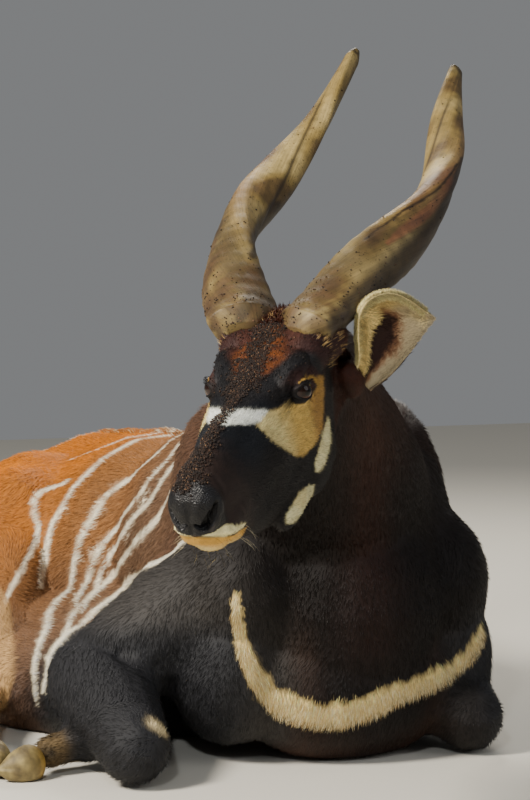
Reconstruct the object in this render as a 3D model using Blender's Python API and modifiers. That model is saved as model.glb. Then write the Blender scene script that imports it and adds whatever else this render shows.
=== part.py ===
# Bull bongo antelope lying on its chest, as a still, life-size model.
# Metres, +Z up. The body is laid out with the animal's left towards +X and its chest towards -Y,
# on the ground at height 0, and at the end it is moved so that the origin is under its middle.
import math
import random

import bmesh
import bpy
from mathutils import Matrix, Vector

# Driving sizes of the body
GAP = 0.0003                 # between neighbouring pieces
BODY_VOXEL = 0.012
HEAD_VOXEL = 0.0042
BODY_TRIANGLES = 4000
HEAD_TRIANGLES = 3400
WITHERS = Vector((0, 0.30, 0.60))
NECK_BASE = Vector((0, 0.14, 0.40))
RUMP_TOP = Vector((0, 1.06, 0.475))
TAIL_ROOT = Vector((0, 1.33, 0.38))

# Driving sizes of the head, laid out on a skull 44.5 units long from poll to nose
HEAD_LENGTH = 0.48
HEAD_UNIT = HEAD_LENGTH / 44.5
POLL = Vector((-0.2693, -0.2869, 0.743))
HEAD_YAW = math.radians(47.2)      # turned to the animal's right
HEAD_PITCH = math.radians(28.4)    # nose down
HEAD_ROLL = math.radians(0.7)
EYE_RADIUS = 1.85                  # in head units
EYE = Vector((15.3, 5.65, -2.7))
EYE_TURN = 28                      # degrees that the eyes look ahead of straight sideways
LID = 0.42
LID_OPENING = (1.62, 0.98)
EAR_LENGTH = 13.1
EAR_THICK = 0.005

# Driving sizes of the limbs
FORE_KNEE_R = 0.062
CLAW_LENGTH = 0.080
CLAW_WIDTH = 0.040
CLAW_HEIGHT = 0.060

random.seed(7)


# Scene and materials


def clear_scene():
    for obj in list(bpy.data.objects):
        bpy.data.objects.remove(obj, do_unlink=True)


def new_collection(name):
    found = bpy.data.collections.new(name)
    bpy.context.scene.collection.children.link(found)
    return found


def move_to(obj, collection):
    for other in list(obj.users_collection):
        other.objects.unlink(obj)
    collection.objects.link(obj)


def material(name, colour, roughness):
    found = bpy.data.materials.get(name)
    if found:
        return found
    found = bpy.data.materials.new(name)
    found.use_nodes = True
    shader = found.node_tree.nodes["Principled BSDF"]
    shader.inputs["Base Color"].default_value = (*colour, 1)
    shader.inputs["Roughness"].default_value = roughness
    shader.inputs["Metallic"].default_value = 0
    return found


# Meshes


def settle(obj):
    # Turns the object's modifiers into its mesh.
    depsgraph = bpy.context.evaluated_depsgraph_get()
    mesh = bpy.data.meshes.new_from_object(obj.evaluated_get(depsgraph))
    obj.modifiers.clear()
    obj.data = mesh


def new_object(name, bm):
    mesh = bpy.data.meshes.new(name)
    bmesh.ops.recalc_face_normals(bm, faces=bm.faces)
    bm.to_mesh(mesh)
    bm.free()
    obj = bpy.data.objects.new(name, mesh)
    bpy.context.scene.collection.objects.link(obj)
    return obj


def copy_of(obj, name):
    twin = obj.copy()
    twin.data = obj.data.copy()
    twin.name = name
    bpy.context.scene.collection.objects.link(twin)
    return twin


def bake_place(obj):
    obj.data.transform(obj.matrix_world)
    obj.matrix_world = Matrix()


def boolean(target, cutter, operation, solver="EXACT"):
    modifier = target.modifiers.new("cut", "BOOLEAN")
    modifier.operation = operation
    modifier.solver = solver
    modifier.object = cutter
    settle(target)


def islands(bm):
    left = set(bm.verts)
    while left:
        found = {left.pop()}
        front = list(found)
        while front:
            for edge in front.pop().link_edges:
                for vert in edge.verts:
                    if vert in left:
                        left.discard(vert)
                        found.add(vert)
                        front.append(vert)
        yield found


def volume_of(verts):
    total = 0
    for face in {face for vert in verts for face in vert.link_faces}:
        a, b, c = [vert.co for vert in face.verts]
        total += a.dot(b.cross(c)) / 6
    return total


def keep_largest(obj, weld=0.00002):
    # A node is one closed surface, so loose scraps of a cut are dropped.
    bm = bmesh.new()
    bm.from_mesh(obj.data)
    bmesh.ops.remove_doubles(bm, verts=bm.verts, dist=weld)
    bmesh.ops.triangulate(bm, faces=bm.faces)
    bmesh.ops.dissolve_degenerate(bm, edges=bm.edges, dist=weld)
    bmesh.ops.triangulate(bm, faces=bm.faces)
    parts = sorted(islands(bm), key=volume_of)
    for scrap in parts[:-1]:
        bmesh.ops.delete(bm, geom=list(scrap), context="VERTS")
    bm.to_mesh(obj.data)
    bm.free()


def ball(center, radii, turn=(0, 0, 0), segments=20):
    bpy.ops.mesh.primitive_uv_sphere_add(segments=segments, ring_count=segments // 2, radius=1,
                                         location=center, rotation=[math.radians(a) for a in turn])
    obj = bpy.context.object
    obj.scale = radii
    bpy.context.view_layer.update()
    bake_place(obj)
    return obj


def limb(points, radii, roundness=4, steps=6):
    # A tapered tube through the points, with a ball at each end.
    curve = bpy.data.curves.new("limb", "CURVE")
    curve.dimensions = "3D"
    curve.bevel_depth = 1
    curve.bevel_resolution = roundness
    curve.resolution_u = steps
    curve.use_fill_caps = True
    spline = curve.splines.new("BEZIER")
    spline.radius_interpolation = "CARDINAL"
    spline.bezier_points.add(len(points) - 1)
    for knot, place, radius in zip(spline.bezier_points, points, radii):
        knot.co = place
        knot.radius = radius
        knot.handle_left_type = "AUTO"
        knot.handle_right_type = "AUTO"
    holder = bpy.data.objects.new("limb", curve)
    bpy.context.scene.collection.objects.link(holder)
    bm = bmesh.new()
    depsgraph = bpy.context.evaluated_depsgraph_get()
    mesh = bpy.data.meshes.new_from_object(holder.evaluated_get(depsgraph))
    bm.from_mesh(mesh)
    bmesh.ops.remove_doubles(bm, verts=bm.verts, dist=0.0001)
    bpy.data.objects.remove(holder, do_unlink=True)
    tube = new_object("limb", bm)
    sides = 4 + 4 * roundness
    ends = [ball(point, [radius] * 3, segments=sides)
            for point, radius in ((points[0], radii[0]), (points[-1], radii[-1]))]
    return [tube, *ends]


def mirrored(point):
    return Vector((point[0], -point[1], point[2]))


def blend(name, pieces, voxel, rounds, triangles):
    # Melts overlapping masses into one smooth closed surface.
    bm = bmesh.new()
    for piece in pieces:
        bm.from_mesh(piece.data)
        bpy.data.objects.remove(piece, do_unlink=True)
    obj = new_object(name, bm)
    remesh = obj.modifiers.new("melt", "REMESH")
    remesh.mode = "VOXEL"
    remesh.voxel_size = voxel
    smooth = obj.modifiers.new("soften", "SMOOTH")
    smooth.factor = 0.5
    smooth.iterations = rounds
    settle(obj)
    fine = sum(len(face.vertices) - 2 for face in obj.data.polygons)
    decimate = obj.modifiers.new("lighten", "DECIMATE")
    decimate.ratio = triangles / fine
    settle(obj)
    keep_largest(obj)
    return obj


def cell(center, size, turn=(0, 0, 0)):
    bpy.ops.mesh.primitive_cube_add(size=1, location=center, rotation=[math.radians(a) for a in turn])
    obj = bpy.context.object
    obj.scale = size
    bpy.context.view_layer.update()
    bake_place(obj)
    return obj


def cell_along(start, end, wide, high, before=0, after=0):
    # A box round the line from start to end, drawn out by before and after.
    start = Vector(start)
    end = Vector(end)
    way = (end - start).normalized()
    side = Vector((0, 0, 1)).cross(way).normalized()
    up = way.cross(side)
    start = start - way * before
    end = end + way * after
    bpy.ops.mesh.primitive_cube_add(size=1)
    obj = bpy.context.object
    frame = Matrix((way, side, up)).transposed().to_4x4()
    frame.translation = (start + end) / 2
    obj.matrix_world = frame @ Matrix.Diagonal(((end - start).length, wide, high, 1))
    bpy.context.view_layer.update()
    bake_place(obj)
    return obj


def grown(obj, distance):
    twin = copy_of(obj, "grown")
    bm = bmesh.new()
    bm.from_mesh(twin.data)
    bm.normal_update()
    moves = {vert: vert.normal * vert.calc_shell_factor() * distance for vert in bm.verts}
    for vert, move in moves.items():
        vert.co += move
    bm.to_mesh(twin.data)
    bm.free()
    return twin


def carve(body, name, box):
    # Takes the part of the body inside the box away as a piece of its own.
    piece = copy_of(body, name)
    boolean(piece, box, "INTERSECT")
    keep_largest(piece)
    wide = grown(box, GAP)
    boolean(body, wide, "DIFFERENCE")
    keep_largest(body)
    bpy.data.objects.remove(wide, do_unlink=True)
    bpy.data.objects.remove(box, do_unlink=True)
    return piece


def trim(obj, neighbour):
    # Cuts the piece back so that it stands off its neighbour by the gap.
    wide = grown(neighbour, GAP)
    for cutter in (neighbour, wide):
        boolean(obj, cutter, "DIFFERENCE")
    keep_largest(obj)
    bpy.data.objects.remove(wide, do_unlink=True)


def fuse(obj, pieces):
    # Joins closed pieces to the object with one union.
    helpers = new_collection("helpers")
    for piece in pieces:
        move_to(piece, helpers)
    modifier = obj.modifiers.new("join", "BOOLEAN")
    modifier.operation = "UNION"
    modifier.operand_type = "COLLECTION"
    modifier.collection = helpers
    settle(obj)
    for piece in list(helpers.objects):
        bpy.data.objects.remove(piece, do_unlink=True)
    bpy.data.collections.remove(helpers)
    keep_largest(obj)


# The lie of the head


def head_frame():
    # Column x runs to the nose, y to the animal's left, z out of the forehead.
    turn = Matrix.Rotation(-HEAD_YAW, 4, "Z")
    nod = Matrix.Rotation(HEAD_PITCH, 4, "X")
    roll = Matrix.Rotation(HEAD_ROLL, 4, "Y")
    axes = Matrix(((0, 1, 0, 0), (-1, 0, 0, 0), (0, 0, 1, 0), (0, 0, 0, 1)))
    return Matrix.Translation(POLL) @ turn @ nod @ roll @ axes @ Matrix.Scale(HEAD_UNIT, 4)


FRAME = head_frame()


def in_head(pieces):
    for piece in pieces:
        piece.data.transform(FRAME)
    return pieces


def both_sides(center, radii, turn=(0, 0, 0)):
    far = (-turn[0], turn[1], -turn[2])
    return [ball(center, radii, turn), ball(mirrored(center), radii, far)]


# Masses


# Cross sections of the skull: place along the head, height of the top, of the widest line and
# of the underside, half width, and how boxy the upper and lower half are.
SKULL = (
    (-4.0, -2.5, -7.0, -14.0, 5.2, 2.2, 2.0),
    (0.0, 0.2, -6.0, -19.0, 6.8, 2.3, 2.2),
    (5.0, 1.2, -5.0, -22.2, 7.0, 2.4, 2.4),
    (10.0, 1.0, -4.5, -23.2, 7.1, 2.5, 2.4),
    (15.0, 0.6, -4.5, -22.8, 6.9, 2.6, 2.3),
    (20.0, 0.3, -6.5, -21.0, 6.1, 2.1, 2.3),
    (25.0, 0.1, -7.0, -18.9, 5.4, 1.9, 2.2),
    (30.0, -0.1, -7.5, -16.5, 4.6, 1.9, 2.2),
    (34.0, -0.4, -7.0, -14.4, 4.2, 2.1, 2.3),
    (37.5, -0.7, -6.5, -13.3, 4.0, 2.4, 2.3),
    (40.0, -1.3, -5.8, -12.0, 3.7, 2.5, 2.3),
    (41.8, -2.8, -5.4, -9.2, 2.8, 2.3, 2.0),
    (42.5, -4.3, -5.4, -7.0, 1.4, 2.0, 2.0),
)
SKULL_SIDES = 28


def skull():
    bm = bmesh.new()
    rings = []
    for along, top, wide, low, half, upper, lower in SKULL:
        ring = []
        for step in range(SKULL_SIDES):
            angle = math.tau * step / SKULL_SIDES
            up = math.cos(angle)
            out = math.sin(angle)
            boxy = upper if up > 0 else lower
            reach = top - wide if up > 0 else wide - low
            y = half * math.copysign(abs(out) ** (2 / boxy), out)
            z = wide + reach * math.copysign(abs(up) ** (2 / boxy), up)
            ring.append(bm.verts.new((along, y, z)))
        rings.append(ring)
    for back, front in zip(rings, rings[1:]):
        for step in range(SKULL_SIDES):
            after = (step + 1) % SKULL_SIDES
            bm.faces.new((back[step], back[after], front[after], front[step]))
    bm.faces.new(rings[0])
    bm.faces.new(rings[-1])
    return new_object("skull", bm)


def head_masses():
    pieces = [
        skull(),
        ball((5.0, 0, -1.2), (4.6, 5.0, 3.2)),
        ball((39.4, 0, -5.0), (2.7, 3.5, 3.4)),
        ball((37.4, 0, -11.6), (2.6, 3.0, 2.0)),
    ]
    pieces += both_sides((EYE.x - 0.4, EYE.y - 0.5, -2.9), (3.4, 2.3, 2.7))
    pieces += both_sides((13.6, 4.7, -0.9), (4.4, 1.9, 1.8), (0, 8, 0))
    pieces += both_sides((9.5, 4.2, -15.5), (7.0, 2.8, 6.2), (0, 6, 0))
    pieces += both_sides((20.0, 3.8, -10.5), (7.0, 2.1, 4.0), (0, 14, 0))
    pieces += both_sides((17.0, 3.7, -17.4), (7.5, 1.9, 2.6), (0, 12, 0))
    pieces += both_sides((3.0, 5.2, -1.8), (4.2, 3.8, 3.2))
    pieces += both_sides((0.9, 8.0, -9.0), (2.8, 2.4, 3.2))
    pieces += both_sides((39.6, 2.4, -4.9), (2.8, 1.8, 3.0), (0, 20, 0))
    pieces += both_sides((35.5, 2.6, -8.6), (5.0, 1.9, 2.6))
    return in_head(pieces)


def neck_masses():
    back_of_head = FRAME @ Vector((1.5, 0, -8))
    way = [(0, 0.24, 0.34), NECK_BASE, (-0.07, 0.00, 0.50), (-0.15, -0.10, 0.585), (-0.205, -0.18, 0.645),
           back_of_head]
    pieces = limb(way, (0.235, 0.20, 0.165, 0.137, 0.118, 0.088))
    return pieces


def torso_masses():
    pieces = [
        ball((0, 0.38, 0.28), (0.235, 0.42, 0.277)),
        ball((0, 0.08, 0.25), (0.185, 0.20, 0.22)),
        ball((0, 0.04, 0.12), (0.21, 0.14, 0.135)),
        ball((0, 0.78, 0.25), (0.275, 0.38, 0.252)),
        ball((-0.02, 0.57, 0.07), (0.40, 0.37, 0.19)),
        ball((0, 1.08, 0.28), (0.20, 0.27, 0.205)),
        ball((0, 1.24, 0.26), (0.16, 0.14, 0.16)),
    ]
    for side in (-1, 1):
        pieces.append(ball((side * 0.28, 0.43, 0.075), (0.16, 0.22, 0.115)))
        pieces.append(ball((side * 0.10, 1.12, 0.33), (0.11, 0.15, 0.12)))
        pieces.append(ball((side * 0.07, 1.27, 0.30), (0.07, 0.08, 0.10)))
    pieces.append(ball((-0.36, 0.54, 0.065), (0.12, 0.18, 0.10)))
    spine = [WITHERS - Vector((0, 0.05, 0.09)), (0, 0.50, 0.447), (0, 0.80, 0.418),
             RUMP_TOP - Vector((0, 0, 0.07)), TAIL_ROOT - Vector((0, 0.04, 0.04))]
    pieces += limb(spine, (0.07, 0.07, 0.075, 0.075, 0.045))
    return pieces


def shoulder_masses(side):
    return [
        ball((side * 0.155, 0.17, 0.40), (0.088, 0.15, 0.20), (-14, 0, 0)),
        ball((side * 0.185, 0.08, 0.28), (0.10, 0.13, 0.13)),
        ball((side * 0.22, 0.20, 0.22), (0.10, 0.15, 0.12)),
        ball((side * 0.20, 0.08, 0.15), (0.095, 0.12, 0.13)),
    ]


FORE = {
    "left": {
        "elbow": Vector((0.262, 0.29, 0.135)),
        "knee": Vector((0.190, -0.05, 0.060)),
        "fetlock": Vector((0.17, 0.18, 0.038)),
        "toe": Vector((0.20, 0.34, 0.030)),
        "splay": 0.0,
    },
    "right": {
        "elbow": Vector((-0.392, 0.18, 0.128)),
        "knee": Vector((-0.418, -0.045, 0.062)),
        "fetlock": Vector((-0.435, 0.105, 0.045)),
        "toe": Vector((-0.575, 0.090, 0.030)),
        "splay": 0.036,
    },
}
HIND = {
    "left": {
        "hip": Vector((0.13, 1.08, 0.30)),
        "stifle": Vector((0.30, 0.80, 0.20)),
        "hock": Vector((0.27, 1.14, 0.075)),
        "fetlock": Vector((0.33, 0.86, 0.040)),
        "toe": Vector((0.34, 0.70, 0.028)),
        "splay": 0.0,
    },
    "right": {
        "hip": Vector((-0.13, 1.08, 0.30)),
        "stifle": Vector((-0.32, 0.86, 0.26)),
        "hock": Vector((-0.46, 0.53, 0.075)),
        "fetlock": Vector((-0.575, 0.25, 0.042)),
        "toe": Vector((-0.615, 0.07, 0.028)),
        "splay": 0.0,
    },
}


def between(a, b, part):
    return a + (b - a) * part


def fore_masses(side):
    leg = FORE[side]
    sign = 1 if side == "left" else -1
    shoulder = Vector((sign * 0.19, 0.10, 0.28))
    pieces = shoulder_masses(sign)
    pieces += limb([shoulder, between(shoulder, leg["elbow"], 0.5) + Vector((0, 0, 0.01)), leg["elbow"]],
                   (0.10, 0.095, 0.085))
    middle = between(leg["elbow"], leg["knee"], 0.45) + Vector((0, 0, 0.008))
    pieces += limb([leg["elbow"], middle, leg["knee"]], (0.088, 0.080, FORE_KNEE_R))
    pieces += limb([leg["knee"], between(leg["knee"], leg["fetlock"], 0.5), leg["fetlock"]],
                   (0.045, 0.029, 0.036))
    pieces += foot_masses(leg)
    return pieces


def hind_masses(side):
    leg = HIND[side]
    pieces = [
        ball(between(leg["hip"], leg["stifle"], 0.30), (0.13, 0.22, 0.165)),
        ball(between(leg["hip"], leg["stifle"], 0.70), (0.115, 0.17, 0.16)),
    ]
    pieces += limb([leg["stifle"], between(leg["stifle"], leg["hock"], 0.55), leg["hock"]],
                   (0.115, 0.070, 0.047))
    pieces += limb([leg["hock"], between(leg["hock"], leg["fetlock"], 0.5), leg["fetlock"]],
                   (0.046, 0.030, 0.037))
    pieces += foot_masses(leg)
    return pieces


def foot_masses(leg):
    coronet = between(leg["fetlock"], leg["toe"], 0.5)
    return limb([leg["fetlock"], between(leg["fetlock"], leg["toe"], 0.30), coronet], (0.035, 0.029, 0.034))


def tail_path():
    path = ((0.01, 1.385, 0.30), (0.03, 1.415, 0.17), (0.06, 1.43, 0.075), (0.12, 1.435, 0.030),
            (0.20, 1.42, 0.026))
    return [TAIL_ROOT, *(Vector(point) for point in path)]


def tail_masses():
    return limb(tail_path(), (0.034, 0.024, 0.019, 0.017, 0.016, 0.015))


# Claws


def claw(name, leg, sign):
    # One half of a cloven hoof, flat below, rounded outside and flat towards its twin.
    way = leg["toe"] - leg["fetlock"]
    heading = math.atan2(way.y, way.x)
    bpy.ops.mesh.primitive_uv_sphere_add(segments=8, ring_count=6, radius=1)
    obj = bpy.context.object
    obj.name = name
    for vert in obj.data.vertices:
        along = vert.co.x
        taper = 0.62 - 0.38 * along if along > 0 else 0.62 - 0.2 * along
        vert.co.y = max(vert.co.y, -0.35) * (0.8 + 0.45 * taper)
        vert.co.z = vert.co.z * (0.84 - 0.14 * along)
        vert.co.x = along * (1 + 0.12 * (along > 0) * (vert.co.z < 0))
    obj.data.transform(Matrix.Diagonal((CLAW_LENGTH / 2, sign * CLAW_WIDTH * 0.62, CLAW_HEIGHT * 0.62, 1)))
    if sign < 0:
        obj.data.flip_normals()
    center = between(leg["fetlock"], leg["toe"], 0.66)
    aside = Vector((-math.sin(heading), math.cos(heading), 0)) * sign * CLAW_WIDTH * 0.36
    aside += Vector((math.cos(heading), math.sin(heading), 0)) * sign * leg["splay"]
    low = Vector((center.x, center.y, CLAW_HEIGHT * 0.38))
    place = Matrix.Translation(low + aside) @ Matrix.Rotation(heading - sign * 0.06, 4, "Z")
    obj.data.transform(place)
    return obj


# Horns


def path_point(points, part):
    # A smooth curve through the points, read at a share of its length.
    ends = [points[0] * 2 - points[1], *points, points[-1] * 2 - points[-2]]
    at = min(part, 0.99999) * (len(points) - 1)
    first = int(at)
    t = at - first
    a, b, c, d = ends[first:first + 4]
    square = (2 * a - 5 * b + 4 * c - d) * t ** 2
    cube = (3 * b - a - 3 * c + d) * t ** 3
    return (2 * b + (c - a) * t + square + cube) / 2


HORNS = {
    "left": {"path": ((4.3, 4.4, -1.5), (-8.9, 9.2, 2.6), (-22.6, 12.9, 3.2), (-36.7, 12.7, 4.0),
                      (-50.3, 10.4, 6.3), (-63.4, 8.4, 8.6)), "blunt": True},
    "right": {"path": ((4.3, -5.0, -1.5), (-8.7, -11.1, 2.6), (-22.6, -14.1, 3.2), (-36.9, -13.1, 4.0),
                       (-50.6, -10.3, 7.0), (-63.4, -7.3, 12.6)), "blunt": False},
}
HORN_RINGS = 24
HORN_SIDES = 12
HORN_RADIUS = 3.75
HORN_FLARE = 0.24             # how much thicker the very base is
HORN_TAPER = 0.66             # share of the radius lost by the tip
HORN_FLAT = 0.86              # thickness against width
HORN_KEELS = (0.20, 0.10)     # how far the front and the back keel stand out
HORN_TWIST = math.radians(300)
HORN_KEEL_START = math.radians(60)


def horn(side):
    data = HORNS[side]
    sign = 1 if side == "left" else -1
    points = [Vector(point) for point in data["path"]]
    bm = bmesh.new()
    rings = []
    steady = Vector((0, 0, 1))
    for row in range(HORN_RINGS + 1):
        part = row / HORN_RINGS
        place = path_point(points, part)
        ahead = path_point(points, min(part + 0.01, 1))
        behind = path_point(points, max(part - 0.01, 0))
        way = (ahead - behind).normalized()
        steady = (steady - way * steady.dot(way)).normalized()
        across = way.cross(steady) * sign
        shrink = 1 - HORN_TAPER * part ** 1.7 + HORN_FLARE * math.exp(-part / 0.07)
        if row == HORN_RINGS and not data["blunt"]:
            shrink *= 0.5
        ring = []
        for step in range(HORN_SIDES):
            angle = math.tau * step / HORN_SIDES
            front = HORN_KEELS[0] * max(0, math.cos(angle)) ** 3
            back = HORN_KEELS[1] * max(0, -math.cos(angle)) ** 3
            spin = HORN_KEEL_START + HORN_TWIST * part
            x = HORN_RADIUS * shrink * (1.08 + front + back) * math.cos(angle)
            y = HORN_RADIUS * shrink * HORN_FLAT * math.sin(angle)
            turn_x = x * math.cos(spin) - y * math.sin(spin)
            turn_y = x * math.sin(spin) + y * math.cos(spin)
            ring.append(bm.verts.new(place + steady * turn_x + across * turn_y))
        rings.append(ring)
    for low, high in zip(rings, rings[1:]):
        for step in range(HORN_SIDES):
            after = (step + 1) % HORN_SIDES
            bm.faces.new((low[step], low[after], high[after], high[step]))
    bm.faces.new(rings[0])
    bm.faces.new(rings[-1])
    bmesh.ops.triangulate(bm, faces=bm.faces)
    obj = new_object("horn_" + side, bm)
    return in_head([obj])[0]


# Ears


# For each ear where its root is, which way its tip points, which way its front edge lies and
# which way its hollow opens.
EARS = {
    "left": {"root": (0.5, 9.5, -10.2), "way": (-0.589, 0.649, 0.481), "front": (0.504, -0.395, 1.093),
             "open": (0.935, 0.885, -0.12)},
    "right": {"root": (0.5, -8.8, -9.4), "way": (-0.88, -0.27, 0.38), "front": (0.10, 0.35, 0.90),
              "open": (0.10, -0.90, 0.30)},
}
# Reach of the leaf in front of and behind its middle line, from the root to the tip.
EAR_LEAF = ((0.0, 1.9, 1.8), (0.14, 3.5, 2.2), (0.30, 6.7, 2.4), (0.46, 9.2, 2.2), (0.64, 9.8, 1.8),
            (0.82, 8.4, 1.1), (0.93, 5.5, 0.7), (1.0, 0.8, 0.4))
EAR_COLUMNS = 8


def ear(side):
    # A leaf rolled into a cup: nearly a tube at its root, open towards its tip.
    data = EARS[side]
    way = Vector(data["way"]).normalized()
    front = Vector(data["front"])
    front = (front - way * front.dot(way)).normalized()
    out = way.cross(front)
    if out.dot(Vector(data["open"])) < 0:
        out = -out
    bm = bmesh.new()
    rows = []
    for part, ahead, behind in EAR_LEAF:
        curl = math.radians(125 - 70 * part ** 0.7)
        middle = (ahead - behind) / 2
        half = (ahead + behind) / 2
        line = []
        for column in range(EAR_COLUMNS + 1):
            angle = curl * (2 * column / EAR_COLUMNS - 1)
            aside = middle + half * math.sin(angle) / max(math.sin(curl), 0.8)
            deep = half * (math.cos(angle) - math.cos(curl)) * 0.6
            place = Vector(data["root"]) + way * EAR_LENGTH * part + front * aside - out * deep
            line.append(bm.verts.new(place))
        rows.append(line)
    for low, high in zip(rows, rows[1:]):
        for column in range(EAR_COLUMNS):
            bm.faces.new((low[column], low[column + 1], high[column + 1]))
            bm.faces.new((low[column], high[column + 1], high[column]))
    obj = new_object("ear_" + side, bm)
    in_head([obj])
    shell = obj.modifiers.new("thickness", "SOLIDIFY")
    shell.thickness = EAR_THICK
    shell.offset = 0
    settle(obj)
    return obj


# Eyes and the openings of the head


def eye(side):
    sign = 1 if side == "left" else -1
    center = Vector((EYE.x, sign * EYE.y, EYE.z))
    obj = ball(center, [EYE_RADIUS] * 3, segments=16)
    obj.name = "eye_" + side
    return in_head([obj])[0]


def open_eye(head, sign):
    center = Vector((EYE.x, sign * EYE.y, EYE.z))
    lids = in_head([ball(center, [EYE_RADIUS + LID] * 3, segments=16)])
    fuse(head, lids)
    socket = in_head([ball(center, [EYE_RADIUS + GAP / HEAD_UNIT * 1.5] * 3, segments=16)])[0]
    boolean(head, socket, "DIFFERENCE")
    bpy.data.objects.remove(socket, do_unlink=True)
    look = math.radians(EYE_TURN)
    aim = center + Vector((math.sin(look), sign * math.cos(look), 0.05)) * (EYE_RADIUS + LID)
    slot = in_head([ball(aim, (LID_OPENING[0], 1.5, LID_OPENING[1]), (0, 12, sign * -EYE_TURN), 14)])[0]
    boolean(head, slot, "DIFFERENCE")
    bpy.data.objects.remove(slot, do_unlink=True)
    keep_largest(head)


def open_nostril(head, sign):
    hole = in_head([ball((41.0, sign * 3.45, -4.3), (1.7, 0.95, 1.1), (0, -25, sign * -35), 10)])[0]
    boolean(head, hole, "DIFFERENCE")
    bpy.data.objects.remove(hole, do_unlink=True)
    keep_largest(head)


# The left half of the line between the lips, from the corner of the mouth to its middle.
MOUTH = ((32.5, 5.5, -12.4), (34.5, 5.3, -11.6), (36.8, 5.0, -10.6), (39.0, 4.6, -9.7), (40.8, 3.6, -9.0),
         (42.2, 1.8, -8.5), (42.8, 0, -8.3))
MOUTH_DEPTH = 0.52            # radius of the cut, in head units


def on_head(head, point):
    # The nearest place on the head's surface, in head units.
    found, place, normal, face = head.closest_point_on_mesh(FRAME @ Vector(point))
    return FRAME.inverted() @ place


def mouth_line(head):
    way = [on_head(head, point) for point in MOUTH]
    way = way + [mirrored(point) for point in reversed(way[:-1])]
    groove = in_head(limb(way, [MOUTH_DEPTH] * len(way), 1, 2))
    for piece in groove:
        boolean(head, piece, "DIFFERENCE")
        bpy.data.objects.remove(piece, do_unlink=True)
    keep_largest(head)


# Tail tuft


def lock(root, way, length, width, sag):
    # A flat tapered lock that bends as it falls back.
    way = Vector(way).normalized()
    side = way.cross(Vector((0, 0, 1))).normalized()
    up = side.cross(way)
    bm = bmesh.new()
    rings = []
    for part, share, thick in ((0, 0.7, 0.30), (0.35, 1.0, 0.26), (0.7, 0.72, 0.2)):
        place = Vector(root) + way * length * part - up * sag * part ** 2
        ring = []
        for across, above in ((-1, 0), (0, 1), (1, 0), (0, -1)):
            ring.append(bm.verts.new(place + side * across * width / 2 * share + up * above * width * thick))
        rings.append(ring)
    tip = bm.verts.new(Vector(root) + way * length - up * sag)
    for low, high in zip(rings, rings[1:]):
        for step in range(4):
            bm.faces.new((low[step], low[(step + 1) % 4], high[(step + 1) % 4], high[step]))
    for step in range(4):
        bm.faces.new((rings[-1][step], rings[-1][(step + 1) % 4], tip))
    bm.faces.new(rings[0])
    bmesh.ops.triangulate(bm, faces=bm.faces)
    return new_object("lock", bm)


def tail_tuft():
    end = tail_path()[-1]
    way = Vector((0.085, -0.045, 0)).normalized()
    heading = math.degrees(math.atan2(way.y, way.x))
    core = ball(end + way * 0.075 + Vector((0, 0, 0.004)), (0.075, 0.024, 0.020), (0, 0, heading), 12)
    core.name = "tail_tuft"
    locks = []
    for row in range(3):
        for step in range(4):
            angle = math.pi * (step + 0.5 * (row % 2)) / 3.5
            out = Vector((-way.y, way.x, 0)) * math.cos(angle) + Vector((0, 0, 1)) * math.sin(angle)
            root = end + way * (0.03 + 0.04 * row) + out * 0.012
            aim = way + out * (0.22 - 0.04 * row) + Vector((0, 0, -0.02))
            locks.append(lock(root, aim, random.uniform(0.08, 0.105), 0.026, random.uniform(0.0, 0.008)))
    fuse(core, locks)
    return core


# Nodes


NODE_LOOKS = {
    "horn": ((0.52, 0.42, 0.27), 0.45),
    "ear": ((0.30, 0.22, 0.10), 0.8),
    "eye": ((0.02, 0.012, 0.008), 0.08),
    "hoof": ((0.25, 0.19, 0.08), 0.5),
    "head": ((0.03, 0.02, 0.015), 0.7),
    "neck": ((0.06, 0.02, 0.01), 0.7),
    "tail": ((0.10, 0.03, 0.01), 0.8),
}
HIDE = ((0.35, 0.13, 0.03), 0.7)


def finish(obj, collection):
    move_to(obj, collection)
    look = next((value for key, value in NODE_LOOKS.items() if obj.name.startswith(key)), HIDE)
    obj.data.materials.clear()
    obj.data.materials.append(material(obj.name + "_material", *look))
    obj.data.shade_smooth()


def ground_cut(obj, ground):
    low = min(vert.co.z for vert in obj.data.vertices)
    if low < 0:
        boolean(obj, ground, "DIFFERENCE")
        keep_largest(obj)


def head_cell():
    # Everything ahead of the plane that runs down behind the poll and the corner of the jaw.
    place = FRAME @ Vector((0.5, 0, -10.5))
    lean = FRAME.to_3x3() @ Vector((0.95, 0, 0.32))
    return cell_along(place, place + lean.normalized() * 0.7, 0.62, 0.62)


def neck_cell():
    place = Vector((-0.05, 0.01, 0.50))
    return cell_along(place, place + Vector((-0.38, -0.60, 0.70)) * 0.7, 0.8, 0.56)


def cut_limbs(body):
    nodes = []
    for side in ("left", "right"):
        fore = FORE[side]
        hind = HIND[side]
        for kind, leg in (("fore", fore), ("hind", hind)):
            box = cell_along(leg["fetlock"], leg["toe"], 0.11, 0.16, -0.005, 0.02)
            nodes.append(carve(body, f"{kind}_foot_{side}", box))
        lift = Vector((0, 0, -0.01))
        start = between(fore["knee"], fore["fetlock"], 0.12) + lift
        box = cell_along(start, fore["fetlock"], 0.10, 0.075, 0, 0.05)
        nodes.append(carve(body, "fore_cannon_" + side, box))
        box = cell_along(fore["elbow"], fore["knee"], 0.17, 0.24, 0, 0.12)
        nodes.append(carve(body, "forearm_" + side, box))
        box = cell_along(hind["hock"], hind["fetlock"], 0.12, 0.12, 0.07, 0.05)
        nodes.append(carve(body, "hind_cannon_" + side, box))
        box = cell_along(between(hind["stifle"], hind["hock"], 0.42), hind["hock"], 0.20, 0.24, 0, 0.10)
        nodes.append(carve(body, "shank_" + side, box))
    return nodes


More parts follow.
